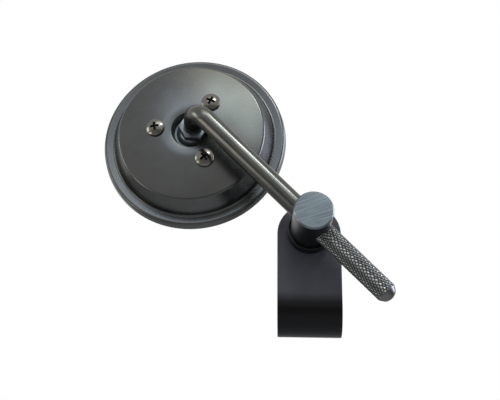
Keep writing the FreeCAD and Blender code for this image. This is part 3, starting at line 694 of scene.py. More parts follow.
@dataclass
class ClampStrap:
    """Sheet steel strap folded round the handlebar, both ends rounded and drilled.

    Painted shade darkens the coat from fade_start above the bar's axis down over fade_run. The fold
    drifts sideways by skew from the front leg to the back leg, and the holes stay on the stud.
    """

    bar_radius: float = 11.1
    thickness: float = 2.3
    half_width: float = 15.5
    pivot_height: float = 34.6
    hole: float = 4.05
    edge: float = 0.42
    edge_runs: int = 3
    bend_runs: int = 56
    arc_runs: int = 40
    fade_start: float = 5.0
    fade_run: float = 4.0
    skew: float = 1.2
    weld: float = 1e-4
    match_digits: int = 3

    @property
    def middle(self) -> float:
        """Give the fold's radius in the middle of the sheet."""
        return self.bar_radius + self.thickness / 2

    @property
    def half_fold(self) -> float:
        """Give half the length of the fold, along the middle of the sheet."""
        return math.pi / 2 * self.middle

    def flat(self) -> Solid:
        """Lay the strap out flat.

        Returns:
            Points (along, across) and faces of the blank.
        """
        fold = self.half_fold
        pivot = fold + self.pivot_height
        blank = Solid()
        rows = []
        stations = [-fold + 2 * fold * k / self.bend_runs for k in range(self.bend_runs + 1)]
        for along in (-fold - self.fade_start, *stations, fold + self.fade_start):
            row = [Vector((along, side * self.half_width, 0)) for side in (-1, 0, 1)]
            rows.append(blank.loop(row))
        for low, high in zip(rows, rows[1:]):
            blank.faces += [(low[0], high[0], high[1], low[1]), (low[1], high[1], high[2], low[2])]
        half = self.arc_runs // 2
        for end, row in ((1, rows[-1]), (-1, rows[0])):
            drift = self.skew if end > 0 else 0.0
            tip = self.arc(blank, end * pivot, self.half_width, end)
            rim = self.arc(blank, end * pivot, self.hole, end, -drift)
            back = self.arc(blank, end * pivot, self.hole, -end, -drift)
            # Both halves of a leg end meet on its centre line, so that neither has a hole in it
            blank.faces += [
                (row[1], row[2], *tip[half:][::-1], *rim[half:], *back[1:half + 1]),
                (row[1], row[0], *tip[:half + 1], *rim[:half + 1][::-1], *back[half:-1][::-1])]
        return blank

    def arc(self, blank: Solid, centre: float, radius: float, end: int,
            across: float = 0.0) -> list[int]:
        """Add a half round to the blank.

        Args:
            blank: The blank.
            centre: Place of its centre along the blank.
            radius: Its radius.
            end: Side that it bulges to, one or minus one.
            across: Place of its centre across the blank.

        Returns:
            Numbers of its points.
        """
        turns = [math.pi * (i / self.arc_runs - 0.5) for i in range(self.arc_runs + 1)]
        return blank.loop([Vector((centre + end * radius * math.cos(turn),
                                   across + radius * math.sin(turn), 0)) for turn in turns])

    def bend(self, point: Vector) -> Vector:
        """Fold a point of the blank round the bar, a little off square towards the back leg.

        Args:
            point: Point (along, across, above the middle of the sheet).

        Returns:
            The point on the folded strap.
        """
        reach = self.middle + point.z
        if abs(point.x) <= self.half_fold:
            turn = point.x / self.middle
            drift = self.skew * (1 + math.sin(turn)) / 2
            return Vector((point.y + drift, reach * math.sin(turn), -reach * math.cos(turn)))
        drift = self.skew if point.x > 0 else 0.0
        return Vector((point.y + drift, math.copysign(reach, point.x),
                       abs(point.x) - self.half_fold))

    def build(self) -> None:
        """Make the strap and dress it."""
        blank = self.flat()
        lift = Vector((0, 0, self.thickness / 2))
        shape = bmesh.new()
        low = [shape.verts.new(point - lift) for point in blank.points]
        high = [shape.verts.new(point + lift) for point in blank.points]
        for face in blank.faces:
            shape.faces.new([high[i] for i in face])
            shape.faces.new([low[i] for i in reversed(face)])
        bmesh.ops.remove_doubles(shape, verts=shape.verts, dist=self.weld)
        rims = [edge for edge in shape.edges if edge.is_boundary]
        pairs: dict[tuple, list[bmesh.types.BMEdge]] = {}
        for edge in rims:
            ends = sorted((round(v.co.x, self.match_digits), round(v.co.y, self.match_digits))
                          for v in edge.verts)
            pairs.setdefault(tuple(ends), []).append(edge)
        for pair in pairs.values():
            bmesh.ops.contextual_create(shape, geom=pair)
        bmesh.ops.recalc_face_normals(shape, faces=shape.faces)
        bmesh.ops.bevel(shape, geom=rims, offset=self.edge, segments=self.edge_runs, profile=0.5,
                        affect="EDGES")
        shape.verts.index_update()
        solid = Solid([self.bend(v.co) for v in shape.verts],
                      [tuple(v.index for v in face.verts) for face in shape.faces])
        shape.free()
        # Painted shade: points below fade_start darken, fully dark fade_run lower down
        solid.painted_shade = {
            number: min(1.0, max(0.0, (self.fade_start - point.z) / self.fade_run))
            for number, point in enumerate(solid.points)}
        strap = make_object("strap", solid, Matrix.Identity(4), [STRAP_COAT])
        settle(strap, "clamp", "clamp_bracket")


@dataclass
class Swivel:
    """Post with its stud, and the pieces stacked on the stud; heights run along the post's axis.

    A disc is given by its outer radius, its height and the rounding of its rims.
    """

    place: Matrix
    post_place: Matrix
    strap_outside: float = 13.4
    hole: float = 4.05
    hole_edge: float = 0.12
    disc_steps: int = 4
    spacer: Triple = (6.0, 22.2, 0.3)
    collar: Triple = (10.6, 6.0, 0.5)
    friction: Triple = (8.5, 0.8, 0.2)
    flat: Triple = (8.5, 1.6, 0.35)
    spring: Triple = (7.0, 2.0, 0.2)
    spring_runs: int = 90
    spring_steps: int = 3
    slit: float = 1.2
    nut: Pair = (13.0, 6.5)
    post: Pair = (9.4, 24.4)
    post_bevel: float = 0.7
    post_edges: Triple = (0.3, 0.25, 0.2)
    post_steps: int = 4
    post_around: int = 128
    face_depth: float = 0.8
    stud: Pair = (4.0, 1.25)
    stud_tail: float = 2.0
    stud_lead: float = 0.8
    rod_level: float = 30.4
    rod_hole: Pair = (5.05, -4.0)
    tail_hole: float = 3.05
    handle_hole: Pair = (5.2, 4.5)
    cut_reach: float = 20.0

    def section(self, size: Triple, low: float, high: float, hole_edge: float,
                steps: int) -> list[Pair]:
        """Draw the half section of a drilled disc with rounded rims.

        Args:
            size: The disc's sizes.
            low: Height of its lower face.
            high: Height of its upper face.
            hole_edge: Rounding of the hole's edges.
            steps: Straight runs in each rounding.

        Returns:
            Points (distance from the axis, height).
        """
        outer, _, edge = size
        return rounded([(self.hole, low, hole_edge), (outer, low, edge), (outer, high, edge),
                        (self.hole, high, hole_edge)], steps)

    def build(self) -> None:
        """Make and dress every piece on the stud."""
        front = self.strap_outside
        half = self.spacer[1] / 2
        collar_top = front + self.collar[1]
        foot = collar_top + self.friction[1]
        flat_back = -front - self.flat[1]
        spring_back = flat_back - self.spring[1]
        nut_back = spring_back - self.nut[1]
        for name, node, size, low, high, finish in (
                ("spacer", "spacer_tube", self.spacer, -half, half, ZINC),
                ("collar", "pivot_collar", self.collar, front, collar_top, POST_OXIDE),
                ("friction_disc", "friction_washer", self.friction, collar_top, foot, NYLON),
                ("plain_washer", "flat_washer", self.flat, flat_back, -front, ZINC)):
            disc = lathe(self.section(size, low, high, self.hole_edge, self.disc_steps))
            settle(make_object(name, disc, self.place, [finish]), "clamp", node)
        self.build_spring(spring_back, flat_back)
        back_nut = hex_nut(self.nut[0], self.nut[1], self.hole, nut_back)
        settle(make_object("back_nut", back_nut, self.place, [ZINC]), "post", "clamp_nut")
        self.build_post(foot, nut_back)

    def build_spring(self, low: float, high: float) -> None:
        """Make the split spring washer and dress it.

        Args:
            low: Height of its lower face.
            high: Height of its upper face.
        """
        section = self.section(self.spring, low, high, self.spring[2], self.spring_steps)
        gap = self.slit / self.spring[0]
        solid = Solid()
        rings = []
        for k in range(self.spring_runs + 1):
            turn = gap / 2 + (2 * math.pi - gap) * k / self.spring_runs
            rings.append(solid.loop([polar(radius, turn, height) for radius, height in section]))
        solid.skin(rings, capped=True)
        settle(make_object("split_washer", solid, self.place, [ZINC]), "clamp", "spring_washer")

    def build_post(self, foot: float, nut_back: float) -> None:
        """Make the turned post with its cross bore, brushed end and threaded stud, and dress them.

        Args:
            foot: Height of the post's foot.
            nut_back: Height of the back nut's outer face.
        """
        radius, height = self.post
        stud, pitch = self.stud
        top = foot + height
        thread_end = -self.strap_outside
        foot_edge, side_edge, top_edge = self.post_edges
        profile = rounded([
            (0, thread_end), (stud, thread_end), (stud, foot), (radius, foot, foot_edge),
            (radius, top - self.post_bevel, side_edge), (radius - self.post_bevel, top, top_edge),
            (0, top)], self.post_steps, closed=False)
        body = lathe(profile, self.post_around, closed=False)
        body.second = {number for number, face in enumerate(body.faces)
                       if all(body.points[i].z > top - self.face_depth for i in face)}
        post = make_object("post", body, self.post_place, [POST_OXIDE, POST_FACE])
        (rod, rod_seat), (handle, handle_seat) = self.rod_hole, self.handle_hole
        bore = lathe([
            (0, -self.cut_reach), (rod, -self.cut_reach), (rod, rod_seat),
            (self.tail_hole, rod_seat), (self.tail_hole, handle_seat), (handle, handle_seat),
            (handle, self.cut_reach), (0, self.cut_reach)], closed=False)
        across = Matrix.Rotation(math.radians(90), 4, "Y")
        cut_away(post, Solid().add(bore, Matrix.Translation((0, 0, self.rod_level)) @ across))
        flip = Matrix.Rotation(math.radians(180), 4, "X")
        stud_back = nut_back - self.stud_tail
        thread = threaded_bar(stud, pitch, -thread_end, -stud_back, self.stud_lead)
        tail = make_object("post_stud", Solid().add(thread, flip), self.post_place, [ZINC])
        settle(post, "post", "pivot_post")
        settle(tail, "post", "pivot_post", CRISP_THREAD)


@dataclass
class Stem:
    """One bent bar with a threaded tail for the handle and a threaded neck for the ball.

    Each end is shaped by distances from it and radii. A thread has a radius, a pitch and a lead.
    """

    place: Matrix
    radius: float = 5.0
    seat: float = 4.0
    seat_shape: tuple[Pair, ...] = ((0.0, 4.6), (0.4, 5.0))
    reach: float = 81.3
    arm_runs: int = 14
    bend_radius: float = 8.5
    bend_runs: int = 28
    shoulder: float = 15.5
    shoulder_shape: tuple[Pair, ...] = ((-0.7, 5.0), (-0.25, 4.85), (0.0, 4.4))
    neck: Triple = (4.0, 1.25, 0.6)
    neck_end: float = 30.9
    tail: Triple = (3.0, 1.0, 0.5)
    tail_end: float = -22.0
    around: int = 72

    def spine(self) -> list[tuple[Vector, Vector, float, float]]:
        """List stations along the bar.

        Returns:
            Centre, direction, length so far and radius at each station.
        """
        x_axis, z_axis = Vector((1, 0, 0)), Vector((0, 0, 1))
        corner = self.reach - self.bend_radius
        arm = [(self.seat + step, radius) for step, radius in self.seat_shape]
        arm += [(self.seat + (corner - self.seat) * k / self.arm_runs, self.radius)
                for k in range(1, self.arm_runs)]
        stations = [(x_axis * along, x_axis, along, radius) for along, radius in arm]
        for k in range(self.bend_runs + 1):
            turn = math.pi / 2 * k / self.bend_runs
            centre = Vector((corner + self.bend_radius * math.sin(turn), 0,
                             self.bend_radius * (1 - math.cos(turn))))
            ahead = x_axis * math.cos(turn) + z_axis * math.sin(turn)
            stations.append((centre, ahead, corner + self.bend_radius * turn, self.radius))
        bent = corner + self.bend_radius * math.pi / 2
        for step, radius in self.shoulder_shape:
            height = self.shoulder + step
            centre = Vector((self.reach, 0, height))
            stations.append((centre, z_axis, bent + height - self.bend_radius, radius))
        return stations

    def build(self) -> None:
        """Make the bar with its two threads and dress it."""
        solid = Solid()
        rings = []
        side = Vector((0, 1, 0))
        for centre, ahead, along, radius in self.spine():
            up = ahead.cross(side)
            turns = [2 * math.pi * i / self.around for i in range(self.around)]
            offsets = [(side * math.cos(turn) + up * math.sin(turn)) * radius for turn in turns]
            ring = solid.loop([centre + offset for offset in offsets])
            for number, offset in zip(ring, offsets):
                solid.straight[number] = Vector((along, offset.dot(side), offset.dot(up)))
            rings.append(ring)
        solid.skin(rings, capped=True)
        bar = make_object("stem_bar", solid, self.place, [STEM_NICKEL])
        (neck, neck_pitch, neck_lead), (tail, tail_pitch, tail_lead) = self.neck, self.tail
        threads = Solid()
        threads.add(threaded_bar(neck, neck_pitch, self.shoulder, self.neck_end, neck_lead),
                    Matrix.Translation((self.reach, 0, 0)))
        threads.add(threaded_bar(tail, tail_pitch, -self.seat, -self.tail_end, tail_lead),
                    Matrix.Rotation(math.radians(-90), 4, "Y"))
        ends = make_object("stem_threads", threads, self.place, [BLACK_ZINC])
        settle(bar, "stem", "stem")
        settle(ends, "stem", "stem", CRISP_THREAD)


@dataclass
class LockHandle:
    """Hand nut with a diamond knurl; heights run from the post's axis to the handle's end.

    The tip is given by its radius and length, its crown by its radius and how far it stands out.
    """

    place: Matrix
    crest: float = 5.15
    depth: float = 0.2
    flat_top: float = 0.25
    count: int = 22
    pitch: float = 2.55
    start: float = 7.6
    rows: int = 16
    level_play: float = 1e-3
    nose: float = 4.7
    nose_step: float = 0.3
    nose_edges: Pair = (0.3, 0.2)
    nose_steps: int = 4
    seat: float = 4.5
    bore: float = 3.05
    bore_depth: float = 20.0
    reach: float = 51.5
    tip: Pair = (3.5, 2.7)
    tip_step: float = 0.05
    tip_edge: float = 1.2
    tip_steps: int = 6
    crown: Pair = (5.4, 0.7)
    crown_runs: int = 8
    ends_painted_shade: float = 0.45

    def point(self, solid: Solid, around: float, along: float, groove: bool) -> int:
        """Add a point of the knurl.

        Args:
            solid: Solid that gets it.
            around: Half steps around.
            along: Half steps along.
            groove: Whether it lies in a groove, which gets painted shade, and not on a diamond's
                top.

        Returns:
            Number of the point.
        """
        radius = self.crest - self.depth if groove else self.crest
        height = self.start + self.pitch * along / 2
        number, = solid.loop([polar(radius, math.pi * around / self.count, height)])
        # A groove point gets full painted shade, a diamond's top none
        solid.painted_shade[number] = 1.0 if groove else 0.0
        return number

    def knurl(self, solid: Solid) -> tuple[list[int], list[int]]:
        """Add the diamonds, each a low pyramid with a flat top.

        Args:
            solid: Solid that gets them.

        Returns:
            Point numbers of the first and last ring.
        """
        around, along = 2 * self.count, 2 * self.rows
        grid: dict[tuple[int, int], int] = {}

        def corner(i: int, j: int) -> int:
            """Find a corner of the diamonds, which is added on first use.

            Args:
                i: Half steps around.
                j: Half steps along.

            Returns:
                Number of the corner.
            """
            key = (i % around, j)
            if key not in grid:
                grid[key] = self.point(solid, i, j, True)
            return grid[key]

        size = self.flat_top
        for j in range(along + 1):
            for i in range(around):
                if (i + j) % 2 == 0:
                    corner(i, j)
                    continue
                left, right = corner(i - 1, j), corner(i + 1, j)
                west = self.point(solid, i - size, j, False)
                east = self.point(solid, i + size, j, False)
                north = self.point(solid, i, j + size, False) if j < along else 0
                south = self.point(solid, i, j - size, False) if j > 0 else 0
                if j < along:
                    above = corner(i, j + 1)
                    solid.faces += [(right, above, north, east), (above, left, west, north),
                                    (east, north, west)]
                if j > 0:
                    below = corner(i, j - 1)
                    solid.faces += [(left, below, south, west), (below, right, east, south),
                                    (west, south, east)]
        return self.edge_ring(solid, 0), self.edge_ring(solid, along)

    def edge_ring(self, solid: Solid, row: int) -> list[int]:
        """Collect the points round one end of the knurl.

        Args:
            solid: Solid with the knurl.
            row: Half steps along to that end.

        Returns:
            Point numbers in order of their turn.
        """
        level = self.start + self.pitch * row / 2
        turns = {number: math.atan2(point.y, point.x) % (2 * math.pi)
                 for number, point in enumerate(solid.points)
                 if abs(point.z - level) < self.level_play}
        return sorted(turns, key=turns.get)

    def build(self) -> None:
        """Make the handle and dress it."""
        solid = Solid()
        first, last = self.knurl(solid)
        valley = self.crest - self.depth
        end = self.start + self.rows * self.pitch
        crown, proud = self.crown
        tip_radius, tip_length = self.tip
        crown_arc = arc_points(crown, self.reach + proud - crown, tip_radius, 0.0, self.crown_runs)
        tip = rounded([
            (valley, end + self.tip_step), (valley, self.reach - tip_length, self.tip_edge),
            *crown_arc], self.tip_steps, closed=False)
        outer_edge, bore_edge = self.nose_edges
        bottom = self.seat + self.bore_depth
        nose = rounded([
            (self.nose, self.start - self.nose_step), (self.nose, self.seat, outer_edge),
            (self.bore, self.seat, bore_edge), (self.bore, bottom), (0, bottom)],
            self.nose_steps, closed=False)
        for begin, profile in ((first, nose), (last, tip)):
            lower = begin
            for radius, height in profile:
                upper = self.aligned_ring(solid, begin, radius, height)
                # Both ends of the handle get painted shade, part way to the dark of the grooves
                solid.painted_shade.update((number, self.ends_painted_shade) for number in upper)
                solid.band(lower, upper)
                lower = upper
        handle = make_object("handle", solid, self.place, [KNURL_NICKEL])
        settle(handle, "handle", "lock_handle", CRISP_KNURL)

    @staticmethod
    def aligned_ring(solid: Solid, pattern: Sequence[int], radius: float,
                     height: float) -> list[int]:
        """Add a ring whose points lie at the same angles as another ring's.

        Args:
            solid: Solid that gets it.
            pattern: Point numbers of the other ring.
            radius: Radius of the ring; without one it is a single point.
            height: Height of the ring.

        Returns:
            Numbers of its points.
        """
        if radius < TINY:
            return solid.ring(0.0, height, 1)
        sides = [Vector((solid.points[i].x, solid.points[i].y, 0)).normalized() for i in pattern]
        return solid.loop([side * radius + Vector((0, 0, height)) for side in sides])


@dataclass
class BallJoint:
    """Ball and lock nut on the stem's neck, and the seats in the head.

    The dome that the seat lies under is given by its inside radius and the height of its centre.
    """

    ball_place: Matrix
    head_place: Matrix
    ball: float = 8.0
    ball_runs: int = 28
    top: float = 5.4
    bottom: float = 5.2
    bore: float = 4.05
    nut: Pair = (13.0, 4.0)
    level: float = 10.2
    play: float = 0.05
    lip: float = 2.9
    lip_edge: float = 0.15
    lip_play: float = 0.17
    split: float = 0.8
    cup_runs: int = 8
    recess: float = 8.65
    mouth: float = 9.8
    mouth_edge: float = 0.3
    outer: float = 14.0
    spigot: float = 8.75
    shoulder: float = 12.37
    edge: float = 0.2
    edge_steps: int = 4
    dome: Pair = (186.7, -169.4)

    @staticmethod
    def meridian(radius: float, low: float, high: float, runs: int) -> list[Pair]:
        """Sample a ball's side.

        Args:
            radius: Radius of the ball.
            low: Height of the first point over the ball's centre.
            high: Height of the last point.
            runs: Number of runs.

        Returns:
            Points (distance from the axis, height over the centre).
        """
        first, last = math.asin(low / radius), math.asin(high / radius)
        turns = [first + (last - first) * i / runs for i in range(runs + 1)]
        return [(radius * math.cos(turn), radius * math.sin(turn)) for turn in turns]

    def build(self) -> None:
        """Make and dress the ball joint."""
        side = self.meridian(self.ball, -self.bottom, self.top, self.ball_runs)
        ball = lathe([(self.bore, -self.bottom), *side, (self.bore, self.top)])
        settle(make_object("ball", ball, self.ball_place, [ZINC]), "ball", "pivot_ball")
        nut = hex_nut(self.nut[0], self.nut[1], self.bore, self.top)
        lock_nut = make_object("lock_nut", nut, self.ball_place, [BLACK_ZINC])
        settle(lock_nut, "stem", "stem_lock_nut")
        self.build_seat()
        dress("lower_ball_seat", NYLON)

    def build_seat(self) -> None:
        """Make the seat ring over the ball and dress it."""
        radius, centre = self.dome[0] - self.play, self.dome[1]
        lip = self.level + self.lip
        side = self.meridian(self.ball + self.play, self.split, self.lip, self.cup_runs)
        cup = [(distance, self.level + height) for distance, height in side]
        profile = rounded([
            *cup[:-1], (*cup[-1], self.lip_edge), (self.recess, lip, self.edge),
            (self.mouth, sphere_level(radius, centre, self.mouth), self.mouth_edge),
            (self.outer, sphere_level(radius, centre, self.outer), self.mouth_edge),
            (self.outer, self.shoulder, self.edge), (self.spigot, self.shoulder, self.edge),
            (self.spigot, self.level + self.split, self.edge)], self.edge_steps)
        seat = lathe(profile)
        seat.second = {number for number, face in enumerate(seat.faces)
                       if all(abs(seat.points[i].z - lip) < self.lip_play for i in face)}
        ring = make_object("seat_ring", seat, self.head_place, [PHOSPHATE, SEAT_LIP])
        settle(ring, "seats", "upper_ball_seat")


@dataclass
class MirrorHead:
    """Pressed shell, screws and glass; heights run from the front edge to the back.

    Corners of the shell are (distance from the axis, height) inside the sheet, and a pair of
    roundings is for the sheet's inside and outside. A screw's head has a radius, a height and the
    height of its side, its neck a radius and a length, its thread a radius, a pitch and a lead.
    """

    place: Matrix
    wall: float = 1.2
    rim: float = 46.6
    rim_edge: float = 0.25
    corner: Pair = (46.0, 3.5)
    corner_edges: Pair = (0.3, 1.5)
    foot: Pair = (41.3, 2.7)
    foot_edges: Pair = (2.2, 1.0)
    top: Pair = (36.75, 13.65)
    top_edges: Pair = (0.4, 1.6)
    crown: float = 17.3
    crown_runs: tuple[int, int] = (26, 22)
    hole: float = 9.75
    hole_edges: Pair = (0.2, 0.3)
    dish: Pair = (6.0, 0.62)
    dish_runs: int = 8
    fold_steps: int = 7
    shell_around: int = 224
    screw_circle: float = 18.0
    screw_turns: Triple = (9.3, 12.8, 13.5)
    screw_head: Triple = (4.75, 2.6, 1.0)
    screw_edges: Pair = (0.25, 0.35)
    screw_steps: int = 4
    screw_runs: int = 12
    screw_around: int = 64
    screw_neck: Pair = (2.3, 0.8)
    screw_thread: Triple = (2.5, 0.8, 0.5)
    screw_length: float = 12.0
    # Cross recess: height from the head's top, half span and half width of a blade
    cross: tuple[Triple, ...] = ((1.0, 2.62, 0.72), (-1.1, 2.2, 0.6), (-1.8, 0.7, 0.35))
    glass_edge: float = 0.25
    glass_thickness: float = 1.8
    glass_curve: float = 1200.0
    glass_play: float = 0.4
    glass_runs: int = 20
    glass_edges: Pair = (0.35, 0.25)
    glass_steps: int = 4
    glass_around: int = 192
    ground: float = 0.3

    def dome(self) -> Pair:
        """Give the inside radius of the dome and the height of its centre."""
        radius = cap_radius(self.top[0], self.crown - self.top[1])
        return radius, self.crown - radius

    def build(self) -> None:
        """Make and dress the head."""
        self.build_shell()
        self.build_screws()
        self.build_glass()
        for node, finish in (("socket_plate", ZINC), ("plate_nuts", ZINC), ("glass_tape", FOAM)):
            dress(node, finish)

    def build_shell(self) -> None:
        """Make the pressed shell with its folds and dress it."""
        wall = self.wall
        radius, centre = self.dome()
        lean = (self.foot[0] - self.top[0]) / (self.top[1] - self.foot[1])
        stretch = math.sqrt(1 + lean * lean)
        outer_foot = self.foot[0] + (stretch - lean) * wall
        drop = math.sqrt(radius ** 2 - self.top[0] ** 2)
        slope = self.top[0] / drop
        rise = wall * (1 / (drop / radius) - slope * stretch) / (1 - lean * slope)
        outer_top = (self.top[0] + stretch * wall - lean * rise, self.top[1] + rise)
        crown = self.crown + wall
        outer_radius = cap_radius(outer_top[0], crown - outer_top[1])
        outer_centre = crown - outer_radius
        dish_width, dish_depth = self.dish
        inside_runs, outside_runs = self.crown_runs
        inside = arc_points(radius, centre, self.hole, self.top[0], inside_runs)
        outside = arc_points(outer_radius, outer_centre, outer_top[0], self.hole + dish_width,
                             outside_runs)
        for step in range(1, self.dish_runs + 1):
            share = step / self.dish_runs
            place = self.hole + dish_width * (1 - share)
            level = sphere_level(outer_radius, outer_centre, place)
            outside.append((place, level - dish_depth * share * share))
        corners = [
            (*inside[0], self.hole_edges[0]), *inside[1:-1], (*inside[-1], self.top_edges[0]),
            (*self.foot, self.foot_edges[0]), (*self.corner, self.corner_edges[0]),
            (self.rim, 0, self.rim_edge), (self.rim + wall, 0, self.rim_edge),
            (self.corner[0] + wall, self.corner[1] + wall, self.corner_edges[1]),
            (outer_foot, self.foot[1] + wall, self.foot_edges[1]),
            (*outside[0], self.top_edges[1]), *outside[1:-1], (*outside[-1], self.hole_edges[1])]
        solid = lathe(rounded(corners, self.fold_steps), self.shell_around)
        settle(make_object("shell", solid, self.place, [SHELL_LACQUER]), "head", "mirror_shell")

    def build_screws(self) -> None:
        """Make the three pan-head screws with their cross recesses and dress them."""
        radius, centre = self.dome()
        outside = radius + self.wall
        level = sphere_level(outside, centre, self.screw_circle)
        lean = math.asin(self.screw_circle / outside)
        seat = Matrix.Translation((self.screw_circle, 0, level)) @ Matrix.Rotation(lean, 4, "Y")
        head, height, side = self.screw_head
        crown = cap_radius(head, height - side)
        dome = arc_points(crown, height - crown, head, 0.0, self.screw_runs)
        neck, neck_length = self.screw_neck
        profile = rounded([
            (0, -neck_length), (neck, -neck_length), (neck, 0), (head, 0, self.screw_edges[0]),
            (*dome[0], self.screw_edges[1]), *dome[1:]], self.screw_steps, closed=False)
        thread, pitch, lead = self.screw_thread
        shank = Solid().add(threaded_bar(thread, pitch, neck_length, self.screw_length, lead),
                            Matrix.Rotation(math.pi, 4, "X"))
        for number, turn in enumerate(self.screw_turns):
            place = Matrix.Rotation(2 * math.pi * number / len(self.screw_turns), 4, "Z") @ seat
            place.translation *= MM
            place = self.place @ place @ Matrix.Rotation(math.radians(turn), 4, "Z")
            solid = lathe(profile, self.screw_around, closed=False)
            screw = make_object("screw_%d" % (number + 1), solid, place, [SCREW_NICKEL])
            # The recess's cut faces take the matt black of painted shade
            cut_away(screw, self.recess(), [RECESS_SHADE])
            settle(screw, "head", "plate_screws", CRISP_SCREW)
            tail = make_object("screw_thread_%d" % (number + 1), shank, place, [SCREW_NICKEL])
            settle(tail, "head", "plate_screws", CRISP_THREAD)

    def recess(self) -> Solid:
        """Make the tapered cross that a driver enters.

        Returns:
            The cross, in the screw's own frame.
        """
        solid = Solid()
        rings = []
        for step, span, blade in self.cross:
            corners = [(span, -blade), (span, blade), (blade, blade)]
            outline = []
            for _ in range(4):
                outline += corners
                corners = [(-y, x) for x, y in corners]
            level = self.screw_head[1] + step
            rings.append(solid.loop([Vector((x, y, level)) for x, y in outline]))
        solid.skin(rings, capped=True)
        return solid

    def build_glass(self) -> None:
        """Make the convex glass with its ground edge and dress it."""
        taper = (self.rim - self.corner[0]) / self.corner[1]
        back = self.glass_edge + self.glass_thickness
        radius = self.rim - taper * back - self.glass_play
        curve = self.glass_curve
        low = self.glass_edge - (curve - math.sqrt(curve ** 2 - radius ** 2))
        places = [radius * i / self.glass_runs for i in range(self.glass_runs + 1)]
        front = [(place, low + place * place / (2 * curve)) for place in places]
        inner = [(place, height + self.glass_thickness) for place, height in reversed(front)]
        front_edge, back_edge = self.glass_edges
        profile = rounded([*front[:-1], (*front[-1], front_edge), (*inner[0], back_edge),
                           *inner[1:]], self.glass_steps, closed=False)
        solid = lathe(profile, self.glass_around, closed=False)
        solid.second = {
            number for number, face in enumerate(solid.faces)
            if all(solid.points[i].xy.length > radius - self.ground for i in face)}
        glass = make_object("glass", solid, self.place, [MIRROR, GLASS_EDGE])
        settle(glass, "head", "mirror_glass")


def bearing(side: float, rise: float) -> Vector:
    """Give a direction away from the object.

    Args:
        side: Degrees round to the right from the front.
        rise: Degrees up.

    Returns:
        The direction, of length one.
    """
    turn, lift = math.radians(side), math.radians(rise)
    return Vector((math.sin(turn) * math.cos(lift), -math.cos(turn) * math.cos(lift),
                   math.sin(lift)))


@dataclass(frozen=True)
class Lamp:
    """Soft lamp that faces the object, with a narrow fan so that little light hits the floor.

    Its place is degrees round to the right from the front, and up. Its cloth has a width and a
    height in metres, and leans by degrees in its own plane.
    """

    name: str
    place: Pair
    cloth: Pair
    watts: float
    tint: str
    fan: float = 90.0
    lean: float = 0.0

    def hang(self, target: Vector, reach: float) -> None:
        """Hang the lamp.

        Args:
            target: Point that it faces.
            reach: Its distance from there, in metres.
        """
        data = bpy.data.lights.new(self.name, "AREA")
        data.shape = "RECTANGLE"
        data.size, data.size_y = self.cloth
        data.energy = self.watts
        data.spread = math.radians(self.fan)
        data.color = linear(self.tint)[:3]
        lamp = bpy.data.objects.new(self.name, data)
        away = bearing(*self.place)
        turn = Quaternion((0, 0, 1), math.radians(self.lean))
        lamp.location = target + away * reach
        lamp.rotation_mode = "QUATERNION"
        lamp.rotation_quaternion = (-away).to_track_quat("-Z", "Y") @ turn
        bpy.context.scene.collection.objects.link(lamp)


LAMPS = (
    Lamp("key", (2.5, 36.0), (0.14, 0.50), 0.28, "#e4f4f4", lean=30.0),
    Lamp("high", (3.0, 52.0), (0.50, 0.50), 0.40, "#fffbe8"),
    Lamp("spark", (23.0, 44.0), (0.14, 0.14), 0.50, "#eef6ff"),
    Lamp("fill", (-18.0, 33.0), (0.30, 0.30), 0.18, "#d2e2ff"),
    Lamp("right", (90.0, 18.0), (0.50, 0.50), 2.3, "#dbe2ff"),
    Lamp("left", (-80.0, 10.0), (0.30, 0.40), 0.38, "#ffffff"),
    Lamp("low", (-70.0, -17.0), (0.60, 0.22), 0.17, "#fffaf2", fan=60.0))


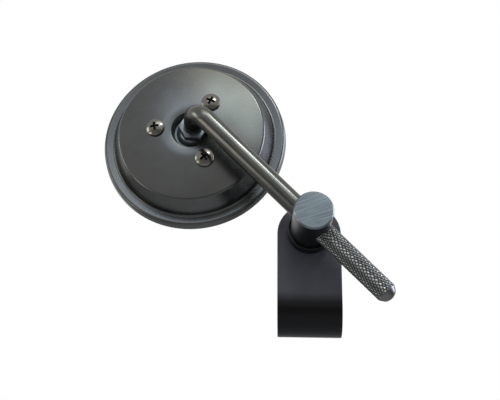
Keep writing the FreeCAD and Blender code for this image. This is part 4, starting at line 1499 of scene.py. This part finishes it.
@dataclass
class Studio:
    """Pale floor, soft lamps and the camera of the photograph, in metres and degrees."""

    floor_level: float = -0.32
    floor_half: float = 14.0
    floor_colours: tuple[str, str] = ("#e6e6e4", "#ececea")
    floor_roughness: float = 0.8
    # Clouds in the rolled paint, three to a metre
    floor_scale: float = 3.0
    target: Triple = (-0.02886, 0.0, 0.05723)
    azimuth: float = -0.72
    elevation: float = -22.38
    roll: float = 0.70
    distance: float = 0.5074
    lens: float = 72.0
    sensor: float = 36.0
    clip_start: float = 0.01
    ambient: float = 0.42
    lamp_reach: float = 0.86

    def build(self) -> None:
        """Set up the stage."""
        self.build_world()
        self.build_floor()
        for lamp in LAMPS:
            lamp.hang(Vector(self.target), self.lamp_reach)
        self.build_camera()
        bpy.context.scene.view_settings.view_transform = "Standard"

    def build_world(self) -> None:
        """Light the object softly, with white for what the camera and reflections see behind it."""
        world = bpy.data.worlds.new("studio")
        bpy.context.scene.world = world
        tree = empty_tree(world)
        path = add_node(tree, "LightPath")
        seen = path.outputs["Is Camera Ray"]
        for ray in ("Is Glossy Ray", "Is Transmission Ray"):
            seen = add_node(tree, "Math", {0: seen, 1: path.outputs[ray]},
                            operation="MAXIMUM").outputs[0]
        soft, white = [
            add_node(tree, "Background", {"Color": linear("#ffffff"), "Strength": strength})
            for strength in (self.ambient, 1.0)]
        mixed = add_node(tree, "MixShader", {0: seen, 1: soft.outputs[0], 2: white.outputs[0]})
        add_node(tree, "OutputWorld", {"Surface": mixed.outputs[0]})

    def build_floor(self) -> None:
        """Lay a plain pale floor well below the object, clear of the low camera."""
        mesh = bpy.data.meshes.new("floor")
        half = self.floor_half
        mesh.from_pydata([(-half, -half, 0), (half, -half, 0), (half, half, 0), (-half, half, 0)],
                         [], [(0, 1, 2, 3)])
        # Matt paint on board: even and pale, with a faint cloud from the roller
        material = bpy.data.materials.new("matt_painted_board")
        tree = empty_tree(material)
        place = add_node(tree, "TexCoord").outputs["Object"]
        cloud = add_node(tree, "TexNoise", {
            "Vector": place, "Scale": self.floor_scale, "Detail": 2.0})
        first, second = [linear(code) for code in self.floor_colours]
        colour = add_node(tree, "Mix", {
            MIX_SHARE: cloud.outputs["Fac"], MIX_UNDER: first, MIX_OVER: second}, data_type="RGBA")
        shader = add_node(tree, "BsdfPrincipled", {
            "Base Color": colour.outputs[MIX_RESULT], "Roughness": self.floor_roughness})
        add_node(tree, "OutputMaterial", {"Surface": shader.outputs[0]})
        mesh.materials.append(material)
        floor = bpy.data.objects.new("floor", mesh)
        floor.location.z = self.floor_level
        bpy.context.scene.collection.objects.link(floor)

    def build_camera(self) -> None:
        """Set the camera where the photograph was taken from."""
        back = bearing(self.azimuth, self.elevation)
        right = (-back).cross(Vector((0, 0, 1))).normalized()
        up = right.cross(-back)
        cosine, sine = math.cos(math.radians(self.roll)), math.sin(math.radians(self.roll))
        turned = (right * cosine + up * sine, up * cosine - right * sine, back)
        place = Matrix(turned).transposed().to_4x4()
        place.translation = Vector(self.target) + back * self.distance
        data = bpy.data.cameras.new("camera")
        data.lens = self.lens
        data.sensor_width = self.sensor
        data.sensor_fit = "HORIZONTAL"
        data.clip_start = self.clip_start
        camera = bpy.data.objects.new("camera", data)
        camera.matrix_world = place
        bpy.context.scene.collection.objects.link(camera)
        bpy.context.scene.camera = camera


def main() -> None:
    """Build and dress every sub-assembly and set the stage."""
    logging.basicConfig(level=logging.INFO, format="%(message)s")
    layout = Layout()
    for assembly in (
            ClampStrap(), Swivel(layout.pivot, layout.post), Stem(layout.stem),
            LockHandle(layout.handle), BallJoint(layout.ball, layout.head),
            MirrorHead(layout.head), Studio()):
        assembly.build()
        LOG.info("%s is built", type(assembly).__name__)


if __name__ == "__main__":
    main()
